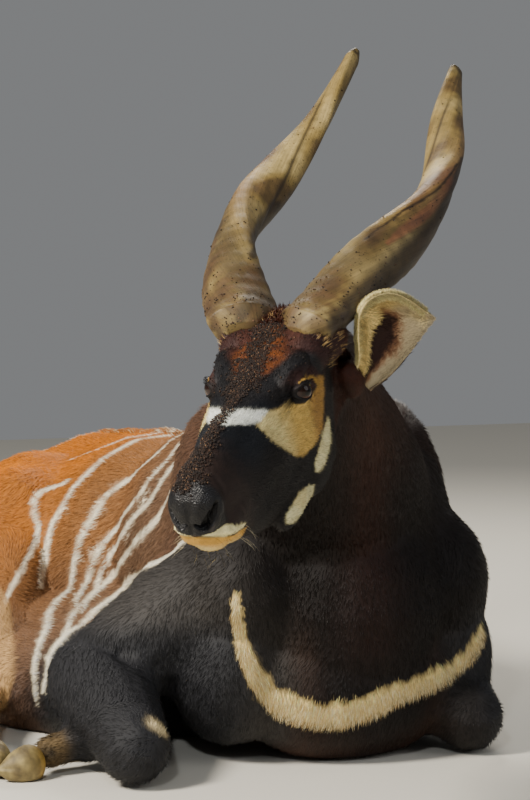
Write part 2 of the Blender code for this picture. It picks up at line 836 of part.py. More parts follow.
def cut_trunk(body):
    nodes = [carve(body, "neck", neck_cell())]
    for side, sign in (("left", 1), ("right", -1)):
        box = cell((sign * 0.34, 0.16, 0.28), (0.40, 0.42, 0.62))
        nodes.append(carve(body, "upper_arm_" + side, box))
        box = cell((sign * 0.34, 0.93, 0.30), (0.40, 0.56, 0.7))
        nodes.append(carve(body, "thigh_" + side, box))
    nodes.append(carve(body, "rump", cell((0, 1.30, 0.4), (1.5, 0.8, 1.2))))
    nodes.append(carve(body, "barrel", cell((0, 0.66, 0.4), (1.5, 0.47, 1.2))))
    body.name = "chest"
    nodes.append(body)
    return nodes


def build():
    clear_scene()
    bongo = new_collection("bongo")
    ground = cell((0, 0.5, -0.5), (4, 4, 1))

    masses = torso_masses() + neck_masses() + head_masses() + tail_masses()
    for side in ("left", "right"):
        masses += fore_masses(side)
        masses += hind_masses(side)
    body = blend("body", masses, BODY_VOXEL, 10, BODY_TRIANGLES)
    head = blend("head", head_masses() + neck_masses(), HEAD_VOXEL, 8, HEAD_TRIANGLES)

    ahead = head_cell()
    cut = grown(ahead, GAP)
    boolean(head, ahead, "INTERSECT")
    keep_largest(head)
    boolean(body, cut, "DIFFERENCE")
    boolean(body, ground, "DIFFERENCE")
    keep_largest(body)
    for helper in (ahead, cut):
        bpy.data.objects.remove(helper, do_unlink=True)

    nodes = [head]
    for sign in (1, -1):
        open_eye(head, sign)
        open_nostril(head, sign)
    mouth_line(head)
    for side in ("left", "right"):
        nodes.append(eye(side))
        growing = [horn(side), ear(side)]
        trim(growing[1], growing[0])
        for obj in growing:
            trim(obj, head)
        nodes += growing

    tail = carve(body, "tail", cell((0.1, 1.46, 0.2), (0.6, 0.20, 0.6)))
    tuft = tail_tuft()
    trim(tuft, tail)
    nodes += [tail, tuft]
    nodes += cut_limbs(body)
    trunk = cut_trunk(body)
    neck = trunk[0]
    for obj in nodes:
        if obj.name.startswith(("ear", "horn")):
            trim(obj, neck)
    nodes += trunk
    for kind, legs in (("fore", FORE), ("hind", HIND)):
        for side in ("left", "right"):
            foot = next(obj for obj in nodes if obj.name == f"{kind}_foot_{side}")
            for place, sign in (("inner", 1), ("outer", -1)):
                piece = claw(f"hoof_{kind}_{side}_{place}", legs[side], sign)
                ground_cut(piece, ground)
                trim(piece, foot)
                nodes.append(piece)
    bpy.data.objects.remove(ground, do_unlink=True)

    corners = [vert.co for obj in nodes for vert in obj.data.vertices]
    middle = [(min(c[axis] for c in corners) + max(c[axis] for c in corners)) / 2 for axis in (0, 1)]
    shift = Matrix.Translation((-middle[0], -middle[1], -min(c.z for c in corners)))
    for obj in nodes:
        obj.data.transform(shift)
        finish(obj, bongo)
    return shift, nodes


shift, nodes = build()
print("origin moved by", [round(value, 4) for value in shift.translation])
for obj in sorted(nodes, key=lambda item: item.name):
    print(obj.name, len(obj.data.polygons))
print("triangles", sum(len(obj.data.polygons) for obj in nodes), "nodes", len(nodes))
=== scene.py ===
import math

import bmesh
import bpy
import numpy as np
from mathutils import Matrix, Vector


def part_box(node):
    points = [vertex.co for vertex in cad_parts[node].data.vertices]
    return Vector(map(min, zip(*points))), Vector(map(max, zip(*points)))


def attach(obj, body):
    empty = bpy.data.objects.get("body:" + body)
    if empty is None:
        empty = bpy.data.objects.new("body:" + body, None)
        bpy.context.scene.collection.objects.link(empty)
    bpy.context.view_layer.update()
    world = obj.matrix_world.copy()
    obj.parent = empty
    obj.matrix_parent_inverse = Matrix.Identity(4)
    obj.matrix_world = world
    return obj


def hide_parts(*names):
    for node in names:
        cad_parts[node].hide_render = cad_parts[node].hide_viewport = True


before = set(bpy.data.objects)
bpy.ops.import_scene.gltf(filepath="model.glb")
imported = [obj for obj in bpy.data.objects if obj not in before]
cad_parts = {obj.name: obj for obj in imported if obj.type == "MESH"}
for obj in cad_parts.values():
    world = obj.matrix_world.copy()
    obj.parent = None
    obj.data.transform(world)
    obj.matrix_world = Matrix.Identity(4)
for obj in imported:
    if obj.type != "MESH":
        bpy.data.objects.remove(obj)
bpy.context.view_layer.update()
bpy.ops.object.select_all(action="DESELECT")
print("stage 1: frame loaded")

# The head's own measures: 44.5 units from poll to nose, x ahead, y to the animal's left, z up
headLie = {
    "length": 0.48,
    "units": 44.5,
    "poll": (-0.2693, -0.2869, 0.743),
    "yaw": 47.2,
    "pitch": 28.4,
    "roll": 0.7,
    "eye": (15.3, 5.65, -2.7),
    "eyeRadius": 1.80,
    "eyeSeat": (15.2, 5.95, -2.65),
    "rightEye": 0.92,  # the right eye sits a little deeper, as the outline of the photographed face has it
    "eyeTurn": 16,
    "eyeRise": 0.04,
}
headUnit = headLie["length"] / headLie["units"]


def headMatrix():
    turn = Matrix.Rotation(-math.radians(headLie["yaw"]), 4, "Z")
    nod = Matrix.Rotation(math.radians(headLie["pitch"]), 4, "X")
    roll = Matrix.Rotation(math.radians(headLie["roll"]), 4, "Y")
    axes = Matrix(((0, 1, 0, 0), (-1, 0, 0, 0), (0, 0, 1, 0), (0, 0, 0, 1)))
    return Matrix.Translation(headLie["poll"]) @ turn @ nod @ roll @ axes @ Matrix.Scale(headUnit, 4)


# The solids were drawn with the withers near the origin and then moved, so the left eye tells by how much
eyeLow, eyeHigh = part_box("eye_left")
shift = (eyeLow + eyeHigh) / 2 - headMatrix() @ Vector(headLie["eye"])
toWorld = Matrix.Translation(shift) @ headMatrix()
toHead = np.array(toWorld.inverted())
shiftArray = np.array(shift)

# Camera, floor and light

cameraLie = {"place": (-1.769, -3.282, 0.793), "tilt": -3.0, "azimuth": -26.0, "lens": 101.25, "sensor": 36,
             "reach": 60, "picture": (530, 800)}


def makeCamera():
    data = bpy.data.cameras.new("camera")
    data.sensor_fit = "VERTICAL"
    data.sensor_height = cameraLie["sensor"]
    data.lens = cameraLie["lens"]
    data.clip_end = cameraLie["reach"]
    camera = bpy.data.objects.new("camera", data)
    bpy.context.scene.collection.objects.link(camera)
    camera.location = Vector(cameraLie["place"]) + shift
    camera.rotation_euler = (math.radians(90 + cameraLie["tilt"]), 0, math.radians(cameraLie["azimuth"]))
    bpy.context.scene.camera = camera


def viewPlace(points):
    # Where a point lies on the photograph, for the markings of face, chest and horns that were read off it
    width, height = cameraLie["picture"]
    turn = math.radians(cameraLie["azimuth"])
    tilt = math.radians(cameraLie["tilt"])
    right = np.array((math.cos(turn), math.sin(turn), 0))
    ahead = np.array((-math.sin(turn), math.cos(turn), 0))
    view = ahead * math.cos(tilt) + np.array((0, 0, math.sin(tilt)))
    up = -ahead * math.sin(tilt) + np.array((0, 0, math.cos(tilt)))
    away = points - np.array(cameraLie["place"])
    depth = away @ view
    focal = height * cameraLie["lens"] / cameraLie["sensor"]
    return np.stack((width / 2 + focal * (away @ right) / depth, height / 2 - focal * (away @ up) / depth), 1)


makeCamera()


def srgb(text):
    # A hex colour as linear light
    out = []
    for start in (1, 3, 5):
        value = int(text[start:start + 2], 16) / 255
        out.append(value / 12.92 if value <= 0.04045 else ((value + 0.055) / 1.055) ** 2.4)
    return np.array(out)


def palette(**tints):
    return {name: srgb(text) for name, text in tints.items()}


def addNode(tree, kind, links=None, **settings):
    # Adds a node; links maps its input to a value or to another node's output
    node = tree.nodes.new(kind)
    for key, value in settings.items():
        setattr(node, key, value)
    for key, value in (links or {}).items():
        if isinstance(value, bpy.types.NodeSocket):
            tree.links.new(value, node.inputs[key])
        else:
            node.inputs[key].default_value = value
    return node


def newMaterial(name, roughness, **sockets):
    found = bpy.data.materials.new(name)
    found.use_nodes = True
    tree = found.node_tree
    shader = tree.nodes["Principled BSDF"]
    shader.inputs["Roughness"].default_value = roughness
    for key, value in sockets.items():
        shader.inputs[key.replace("_", " ")].default_value = value
    return found, tree, shader


studio = {
    "floorSize": 14,
    "floor": "#d9d4c8",
    "key": {"place": (-3.7, -1.2, 3.3), "size": 1.2, "power": 400, "tint": (1.0, 0.94, 0.84)},
    "fill": {"place": (2.6, -4.0, 2.2), "size": 3.0, "power": 38, "tint": (0.95, 0.97, 1.0)},
    "rim": {"place": (1.6, 2.6, 3.2), "size": 1.6, "power": 105, "tint": (1.0, 0.95, 0.86)},
    "glint": {"place": (-1.9, -3.3, 2.2), "size": 0.20, "power": 34, "tint": (0.92, 0.96, 1.0)},
    "aim": (0, -0.2, 0.45),
    "sky": (0.86, 0.88, 0.90, 1),
    "skyPower": 0.24,
}


def makeStudio():
    bpy.ops.mesh.primitive_plane_add(size=studio["floorSize"], location=(0, 0, 0))
    floor = bpy.context.object
    floor.name = "floor"
    # Matt painted board: no shine, so that the shadows stay soft
    look, tree, shader = newMaterial("matte_studio_floor", 0.9)
    shader.inputs["Base Color"].default_value = (*srgb(studio["floor"]), 1)
    floor.data.materials.append(look)
    for name in ("key", "fill", "rim", "glint"):
        values = studio[name]
        data = bpy.data.lights.new(name, "AREA")
        data.shape = "DISK"
        data.size = values["size"]
        data.energy = values["power"]
        data.color = values["tint"]
        lamp = bpy.data.objects.new(name, data)
        bpy.context.scene.collection.objects.link(lamp)
        lamp.location = values["place"]
        lamp.rotation_euler = (Vector(studio["aim"]) - lamp.location).to_track_quat("-Z", "Y").to_euler()
    world = bpy.data.worlds.new("studio")
    world.use_nodes = True
    sky = world.node_tree.nodes["Background"]
    sky.inputs["Color"].default_value = studio["sky"]
    sky.inputs["Strength"].default_value = studio["skyPower"]
    bpy.context.scene.world = world


makeStudio()
print("stage 2: camera and studio")

# Small tools for meshes and for patterns


def linkMesh(name, mesh):
    obj = bpy.data.objects.new(name, mesh)
    bpy.context.scene.collection.objects.link(obj)
    return obj


def applyAll(obj):
    bpy.ops.object.select_all(action="DESELECT")
    bpy.context.view_layer.objects.active = obj
    obj.select_set(True)
    for modifier in list(obj.modifiers):
        bpy.ops.object.modifier_apply(modifier=modifier.name)
    obj.select_set(False)


def readRows(rows, name, width, kind=np.int32):
    out = np.empty(len(rows) * width, kind)
    rows.foreach_get(name, out)
    return out.reshape(-1, width)


def verticesOf(mesh):
    return readRows(mesh.vertices, "co", 3, float)


def normalsOf(mesh):
    return readRows(mesh.vertex_normals, "vector", 3, np.float32).astype(float)


def moveVertices(mesh, places):
    mesh.vertices.foreach_set("co", np.ascontiguousarray(places, dtype=np.float32).ravel())
    mesh.update()


def meshOf(name, bm):
    mesh = bpy.data.meshes.new(name)
    bm.to_mesh(mesh)
    bm.free()
    return mesh


def meshFromArrays(name, places, triangles):
    mesh = bpy.data.meshes.new(name)
    mesh.vertices.add(len(places))
    moveVertices(mesh, places)
    mesh.loops.add(len(triangles) * 3)
    mesh.loops.foreach_set("vertex_index", np.ascontiguousarray(triangles, dtype=np.int32).ravel())
    mesh.polygons.add(len(triangles))
    mesh.polygons.foreach_set("loop_start", np.arange(0, len(triangles) * 3, 3, dtype=np.int32))
    mesh.update(calc_edges=True)
    mesh.validate()
    return mesh


def setColour(mesh, name, colours):
    attribute = mesh.attributes.get(name) or mesh.attributes.new(name, "FLOAT_COLOR", "POINT")
    full = np.ones((len(mesh.vertices), 4), np.float32)
    full[:, :3] = colours
    attribute.data.foreach_set("color", full.ravel())


def setValue(mesh, name, values):
    attribute = mesh.attributes.get(name) or mesh.attributes.new(name, "FLOAT", "POINT")
    attribute.data.foreach_set("value", np.ascontiguousarray(values, dtype=np.float32))


def steps(low, high, values):
    part = np.clip((values - low) / (high - low), 0, 1)
    return part * part * (3 - 2 * part)


def towards(start, end, share):
    return start + (end - start) * share


def mixed(under, over, share):
    return towards(under, over, share[:, None])


def layered(out, paint, *layers):
    # Lays tints over each other in turn, each a name out of the paint or a colour, with its share
    for tint, share in layers:
        out = mixed(out, paint[tint] if isinstance(tint, str) else tint, share)
    return out


def unit(rows):
    return rows / np.maximum(np.linalg.norm(rows, axis=1), 1e-9)[:, None]


def laidFlat(ways, normals):
    # Ways turned so that they lie along the surface
    return unit(ways - normals * np.sum(ways * normals, axis=1)[:, None])


def moved(points, matrix):
    return points @ matrix[:3, :3].T + matrix[:3, 3]


def wobble(points, size, seed, waves=8):
    # Smooth noise of about -1 to 1 that repeats the same on each run
    dice = np.random.default_rng(seed)
    ways = unit(dice.normal(size=(waves, points.shape[1])))
    ways *= 2 * math.pi / size * dice.uniform(0.6, 1.7, (waves, 1))
    return np.sin(points @ ways.T + dice.uniform(0, 2 * math.pi, waves)).sum(1) / math.sqrt(waves)


def wobbles(points, size, seeds):
    return np.stack([wobble(points, size, seed) for seed in seeds], 1)


def between(a, b, c, d, t):
    # A place on the round curve from b to c
    return (2 * b + (c - a) * t + (2 * a - 5 * b + 4 * c - d) * t ** 2 + (3 * b - a - 3 * c + d) * t ** 3) / 2


def smoothPath(path, share=4):
    # A round curve through the points
    path = [np.array(point, float) for point in path]
    ends = [2 * path[0] - path[1], *path, 2 * path[-1] - path[-2]]
    out = [between(*four, step / share) for four in zip(ends, ends[1:], ends[2:], ends[3:]) for step in range(share)]
    return np.array([*out, path[-1]])


def pathDistance(points, path):
    # Distance to a path, and how far along it the nearest place is, 0 to 1
    best = np.full(len(points), 1e9)
    along = np.zeros(len(points))
    for index in range(len(path) - 1):
        start = path[index]
        way = path[index + 1] - start
        part = np.clip(((points - start) @ way) / max(way @ way, 1e-12), 0, 1)
        gap = np.linalg.norm(points - start - part[:, None] * way, axis=1)
        near = gap < best
        best[near] = gap[near]
        along[near] = (index + part[near]) / (len(path) - 1)
    return best, along


def valueAt(along, values):
    # What a row of numbers says at each share of its length
    return np.interp(along, np.linspace(0, 1, len(values)), values)


def pathGap(points, path):
    return pathDistance(points, smoothPath(path))[0]


def bandOf(points, path, wide):
    # Distance to a round path, and the half width that it has there
    gap, along = pathDistance(points, smoothPath(path))
    return gap, valueAt(along, wide)


def insidePatch(points, corners):
    # Distance to the edge of a flat patch, above 0 inside it
    ring = np.array((*corners, corners[0]), float)
    gap = pathDistance(points, ring)[0]
    inside = np.zeros(len(points), bool)
    for (ax, ay), (bx, by) in zip(ring, ring[1:]):
        crosses = (ay > points[:, 1]) != (by > points[:, 1])
        with np.errstate(divide="ignore", invalid="ignore"):
            inside ^= crosses & (points[:, 0] < (bx - ax) * (points[:, 1] - ay) / (by - ay) + ax)
    return np.where(inside, gap, -gap)


def headPlaces(points):
    return moved(points, toHead)


def folded(places):
    # Both halves of the head as one
    out = places.copy()
    out[:, 1] = np.abs(out[:, 1])
    return out


# Masses of the head, melted with the solids of the body into one skin

skull = {
    "sides": 40,
    # place along the head, top, widest line, underside, half width, how boxy above and below
    "sections": (
        (-4.0, -2.5, -7.0, -14.0, 5.2, 2.2, 2.0),
        (0.0, 0.2, -6.0, -18.4, 6.3, 2.3, 2.2),
        (5.0, 1.2, -5.0, -22.0, 6.6, 2.4, 2.4),
        (10.0, 1.0, -4.5, -23.2, 6.9, 2.5, 2.4),
        (15.0, 0.6, -4.5, -22.8, 6.8, 2.6, 2.3),
        (20.0, 0.3, -6.5, -21.0, 6.1, 2.1, 2.3),
        (25.0, 0.1, -7.0, -18.9, 5.4, 1.9, 2.2),
        (30.0, -0.1, -7.5, -16.5, 4.6, 1.9, 2.2),
        (34.0, -0.4, -7.0, -14.6, 4.2, 2.1, 2.3),
        (37.5, -0.7, -6.5, -12.8, 3.9, 2.4, 2.3),
        (40.0, -1.3, -5.8, -11.4, 3.5, 2.5, 2.3),
        (41.8, -2.8, -5.4, -9.2, 2.8, 2.3, 2.0),
        (42.5, -4.3, -5.4, -7.0, 1.4, 2.0, 2.0),
    ),
    # centre, radii and nod of each ball; one off the middle has a twin on the other side
    "balls": (
        ((5.0, 0, -1.2), (4.6, 5.0, 3.2), 0),
        ((39.3, 0, -5.0), (2.6, 3.1, 3.2), 0),
        ((37.2, 0, -11.3), (2.6, 2.6, 1.7), 0),
        ((14.9, 5.15, -2.9), (3.4, 2.3, 2.7), 0),
        ((13.6, 4.7, -0.9), (4.4, 1.9, 1.8), 8),
        ((10.6, 4.1, -15.4), (6.4, 2.6, 6.0), 6),
        ((17.0, 3.7, -17.4), (7.5, 1.9, 2.6), 12),
        ((20.0, 3.8, -10.5), (7.0, 2.1, 4.0), 14),
        ((3.0, 5.2, -1.8), (4.2, 3.8, 3.2), 0),
        ((6.4, 4.5, -1.7), (4.4, 3.4, 3.1), 0),
        ((0.9, 7.8, -9.4), (2.5, 2.1, 2.8), 0),
        ((39.3, 2.1, -4.9), (2.7, 1.6, 2.8), 20),
        ((35.5, 2.6, -8.6), (5.0, 1.9, 2.6), 0),
    ),
}


def ballPiece(center, radii, nod):
    bpy.ops.mesh.primitive_uv_sphere_add(segments=24, ring_count=14, radius=1)
    obj = bpy.context.object
    place = Matrix.Translation(center) @ Matrix.Rotation(math.radians(nod), 4, "Y")
    obj.data.transform(toWorld @ place @ Matrix.Diagonal((*radii, 1)))
    return obj


def skullPiece():
    bm = bmesh.new()
    rings = []
    for along, top, wide, low, half, upper, lower in skull["sections"]:
        ring = []
        for step in range(skull["sides"]):
            angle = 2 * math.pi * step / skull["sides"]
            up = math.cos(angle)
            out = math.sin(angle)
            boxy = upper if up > 0 else lower
            reach = top - wide if up > 0 else wide - low
            y = half * math.copysign(abs(out) ** (2 / boxy), out)
            z = wide + reach * math.copysign(abs(up) ** (2 / boxy), up)
            ring.append(bm.verts.new((along, y, z)))
        rings.append(ring)
    for back, front in zip(rings, rings[1:]):
        for step in range(skull["sides"]):
            after = (step + 1) % skull["sides"]
            bm.faces.new((back[step], back[after], front[after], front[step]))
    bm.faces.new(rings[0])
    bm.faces.new(rings[-1])
    bmesh.ops.recalc_face_normals(bm, faces=bm.faces)
    mesh = meshOf("skull", bm)
    mesh.transform(toWorld)
    return linkMesh("skull", mesh)


def headPieces():
    pieces = [skullPiece()]
    for center, radii, nod in skull["balls"]:
        for side in ((1,) if center[1] == 0 else (1, -1)):
            pieces.append(ballPiece((center[0], center[1] * side, center[2]), radii, nod))
    return pieces


fleshNodes = [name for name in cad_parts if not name.startswith(("eye", "horn", "ear", "hoof", "tail_tuft"))]

skinValues = {
    "voxel": 0.0042,
    "triangles": 142000,
    "bodyRounds": 60,
    "headRounds": 6,
    "fillRounds": 140,
    "afterFill": 4,
    "afterRefine": 2,
    "coatDepth": 0.003,
    "headCoat": 0.72,  # how much of that depth the head's shorter hair leaves out
    "floorGap": 0.0008,
}


def joinedPieces():
    # Copies of the flesh solids and the finer masses of the head, in one mesh
    bm = bmesh.new()
    for name in fleshNodes:
        if name != "head":
            bm.from_mesh(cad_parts[name].data)
    for piece in headPieces():
        bm.from_mesh(piece.data)
        bpy.data.objects.remove(piece, do_unlink=True)
    return linkMesh("skin", meshOf("skin", bm))


def headShare(points):
    # 1 on the head, 0 on the body, with a soft change behind the poll and the jaw
    places = headPlaces(points)
    lean = np.array((0.95, 0, 0.32)) / math.hypot(0.95, 0.32)
    ahead = (places - np.array((-0.5, 0, -10.5))) @ lean
    return steps(-1.5, 1.5, ahead) * (places[:, 2] > -27) * (np.abs(places[:, 1]) < 14)


def neighbourMean(places, edges):
    count = np.maximum(np.bincount(edges.ravel(), minlength=len(places)), 1)[:, None]
    total = np.zeros_like(places)
    for axis in range(3):
        for near, far in (edges.T, edges.T[::-1]):
            total[:, axis] += np.bincount(near, weights=places[far, axis], minlength=len(places))
    return total / count


def evened(places, edges, rounds, share=1):
    # Smooths without shrinking: each round pulls in and then pushes back out
    for pull in (0.55, -0.57) * rounds:
        places = places + (neighbourMean(places, edges) - places) * pull * share
    return places


def filled(mesh, places, edges, rounds, share):
    # Fills the hollows between masses, round by round, and leaves what bulges
    for step in range(rounds):
        if step % 10 == 0:
            moveVertices(mesh, places)
            normals = normalsOf(mesh)
        rise = np.sum((neighbourMean(places, edges) - places) * normals, axis=1)
        places = places + normals * (np.maximum(rise, 0) * share)[:, None]
    return places


# Fine forms of the head, as strokes that raise or sink the skin, in head units
headStrokes = (
    # path, half width, height
    (((10.0, 6.4, -0.9), (13.5, 6.0, 0.1), (17.0, 4.8, -0.3), (20.0, 3.2, 0.0)), 1.3, 0.34),
    (((12.4, 7.4, -3.2), (13.3, 7.5, -1.9), (15.2, 7.4, -0.9), (17.2, 6.6, -0.8), (18.8, 5.8, -1.7)), 0.42, -0.34),
    (((17.3, 6.6, -2.4), (19.0, 5.7, -3.2), (21.5, 5.1, -4.2)), 0.5, -0.34),
    (((12.0, 7.0, -6.0), (15.0, 7.0, -6.2), (18.0, 6.2, -6.0)), 1.0, 0.18),
    (((13.0, 6.8, -8.6), (21.0, 5.8, -8.4), (28.0, 4.8, -8.0)), 1.4, 0.26),
    (((17.0, 6.4, -12.6), (23.0, 5.2, -12.2), (29.0, 4.4, -11.6)), 2.0, -0.40),
    (((7.0, 6.9, -13.0), (8.5, 6.9, -18.0)), 3.4, 0.40),
    (((3.6, 7.0, -9.0), (3.6, 7.0, -14.0), (6.0, 6.2, -20.0)), 1.3, -0.55),
    (((14.0, 5.6, -19.0), (20.0, 4.4, -18.0), (26.0, 3.6, -16.4)), 0.9, 0.16),
    (((25.0, 0.0, 0.0), (31.0, 0.0, -0.2), (36.0, 0.0, -0.6)), 1.5, 0.20),
    (((24.0, 3.2, -1.8), (30.0, 3.0, -2.2), (35.0, 2.8, -2.6)), 1.1, -0.20),
    (((6.0, 0.0, 1.4), (12.0, 0.0, 1.0)), 1.0, -0.18),
    (((8.0, 2.6, 1.4), (13.0, 2.4, 0.9)), 1.6, 0.20),
    # nose and lips
    (((42.2, 0.0, -3.2), (42.8, 0.0, -5.4), (42.4, 0.0, -7.6)), 0.32, -0.22),
    (((38.2, 2.0, -1.4), (38.0, 3.4, -2.8), (38.4, 4.1, -4.6), (39.0, 4.0, -6.4)), 0.45, -0.20),
    (((39.4, 4.2, -3.0), (40.4, 3.9, -5.2), (41.2, 2.9, -7.0)), 0.45, 0.22),
    (((40.4, 2.0, -1.8), (41.6, 1.5, -3.2), (42.3, 0.8, -5.0)), 0.6, 0.14),
    (((42.4, 0.0, -8.2), (41.9, 1.8, -8.4), (40.2, 3.4, -9.3), (37.0, 4.2, -10.9), (33.4, 4.4, -12.2)), 0.30, -0.62),
    (((42.2, 0.0, -7.6), (41.8, 1.9, -7.8), (40.0, 3.6, -8.6), (37.0, 4.4, -10.1)), 0.45, 0.22),
    (((41.4, 0.0, -9.4), (40.6, 1.8, -9.7), (39.0, 3.0, -10.6), (36.0, 3.6, -12.0)), 0.6, 0.26),
    (((37.4, 4.3, -6.2), (36.0, 4.5, -7.6), (35.4, 4.4, -9.2)), 0.28, -0.14),
    (((36.2, 4.4, -5.6), (34.8, 4.6, -7.2), (34.2, 4.5, -9.0)), 0.28, -0.12),
    (((35.0, 4.5, -5.0), (33.6, 4.8, -6.8), (33.0, 4.7, -8.8)), 0.28, -0.10),
)
lipStroke = next(index for index, stroke in enumerate(headStrokes) if stroke[0][0] == (42.4, 0.0, -8.2))
nostril = {
    "path": ((42.4, 0.7, -6.2), (42.3, 1.5, -6.6), (42.0, 2.4, -5.9), (41.4, 3.1, -4.9), (40.6, 3.5, -3.9)),
    "wide": (0.34, 0.62, 0.92, 0.95, 0.50),
    "deep": 1.2,
}
# The trunk's own folds, laid out like the solids before they were moved
bodyStrokes = (
    (((-0.46, 0.29, 0.185), (-0.43, 0.20, 0.198), (-0.39, 0.08, 0.195), (-0.34, 0.0, 0.18)), 0.011, -0.014),
    (((-0.45, 0.26, 0.150), (-0.43, 0.14, 0.155), (-0.40, 0.02, 0.145)), 0.014, 0.004),
    (((-0.425, 0.05, 0.125), (-0.415, -0.02, 0.105), (-0.40, -0.08, 0.09)), 0.010, -0.004),
    (((-0.285, 0.32, 0.46), (-0.30, 0.34, 0.34), (-0.30, 0.36, 0.24)), 0.030, -0.008),
    (((0.285, 0.32, 0.46), (0.30, 0.34, 0.34), (0.30, 0.36, 0.24)), 0.030, -0.008),
    (((-0.10, -0.02, 0.20), (-0.08, -0.06, 0.40), (-0.15, -0.16, 0.53)), 0.022, -0.006),
    (((0.06, -0.04, 0.22), (0.02, -0.06, 0.40), (-0.07, -0.17, 0.53)), 0.022, -0.006),
    (((-0.02, -0.08, 0.20), (-0.03, -0.09, 0.36), (-0.11, -0.18, 0.52)), 0.030, 0.007),
)


def strokeMoves(points, strokes):
    out = np.zeros(len(points))
    for path, wide, high in strokes:
        line = smoothPath(path)
        near = np.all((points > line.min(0) - 3 * wide) & (points < line.max(0) + 3 * wide), axis=1)
        gap, along = pathDistance(points[near], line)
        ends = np.minimum(1, 4 * np.minimum(along, 1 - along) + 0.35)
        out[near] += high * ends * np.exp(-(gap / wide) ** 2)
    return out


lids = {"long": 0.90, "tall": 0.58, "tilt": 15, "rim": 0.22, "reach": 1.25, "deep": 0.55}


def eyeSeat(side):
    x, y, z = headLie["eyeSeat"]
    return Vector((x, y if side > 0 else -headLie["rightEye"] * y, z))


def eyeWays(side):
    # The way an eye looks, and the level way across it
    turn = math.radians(headLie["eyeTurn"])
    return (math.sin(turn), side * math.cos(turn), headLie["eyeRise"]), (math.cos(turn), -side * math.sin(turn), 0)


def lidMoves(places, side):
    # Sets the skin round the eyeball: sunk inside the opening, a rim on its edge, then back to the cheek
    center = np.array(eyeSeat(side))
    away = places - center
    gap = np.linalg.norm(away, axis=1)
    look, flat = (np.array(way) for way in eyeWays(side))
    look /= np.linalg.norm(look)
    tilt = math.radians(lids["tilt"])
    high = np.cross(look, flat) * (-side)
    if high[2] < 0:
        high = -high
    level = flat * math.cos(tilt) + high * math.sin(tilt)
    upright = high * math.cos(tilt) - flat * math.sin(tilt)
    way = away / np.maximum(gap, 1e-6)[:, None]
    sideways = way @ level
    upward = way @ upright
    facing = way @ look
    taller = np.where(upward > 0, lids["tall"], lids["tall"] * 0.80)
    edge = np.sqrt((sideways / lids["long"]) ** 2 + (upward / taller) ** 2) - 1
    radius = headLie["eyeRadius"]
    target = np.where(edge < 0, radius - lids["deep"] * steps(0, 0.16, -edge), radius)
    target = target + lids["rim"] * np.exp(-((edge - 0.10) / 0.13) ** 2)
    share = (1 - steps(0.30, lids["reach"], edge)) * (facing > 0) * (gap < 5)
    outer = np.where(edge < 0.30, target, radius + 0.10)
    return way * ((outer - gap) * share)[:, None]


def refine(obj, chosen):
    # Splits the faces near the chosen vertices once
    bm = bmesh.new()
    bm.from_mesh(obj.data)
    bm.edges.ensure_lookup_table()
    edges = [edge for edge in bm.edges if chosen[edge.verts[0].index] and chosen[edge.verts[1].index]]
    bmesh.ops.subdivide_edges(bm, edges=edges, cuts=1, use_grid_fill=True)
    bmesh.ops.triangulate(bm, faces=bm.faces)
    bm.to_mesh(obj.data)
    bm.free()


def featureGaps(places):
    # How far each place of the folded head is from the eye, the nostril and the line of the mouth
    return (np.linalg.norm(places - np.array(headLie["eyeSeat"]), axis=1), pathGap(places, nostril["path"]),
            pathGap(places, headStrokes[lipStroke][0]))


def nearFeatures(points, reach):
    places = folded(headPlaces(points))
    eyeGap, noseGap, lipGap = featureGaps(places)
    return (eyeGap < 3.4 * reach) | (noseGap < 1.7 * reach) | (lipGap < 1.0 * reach)


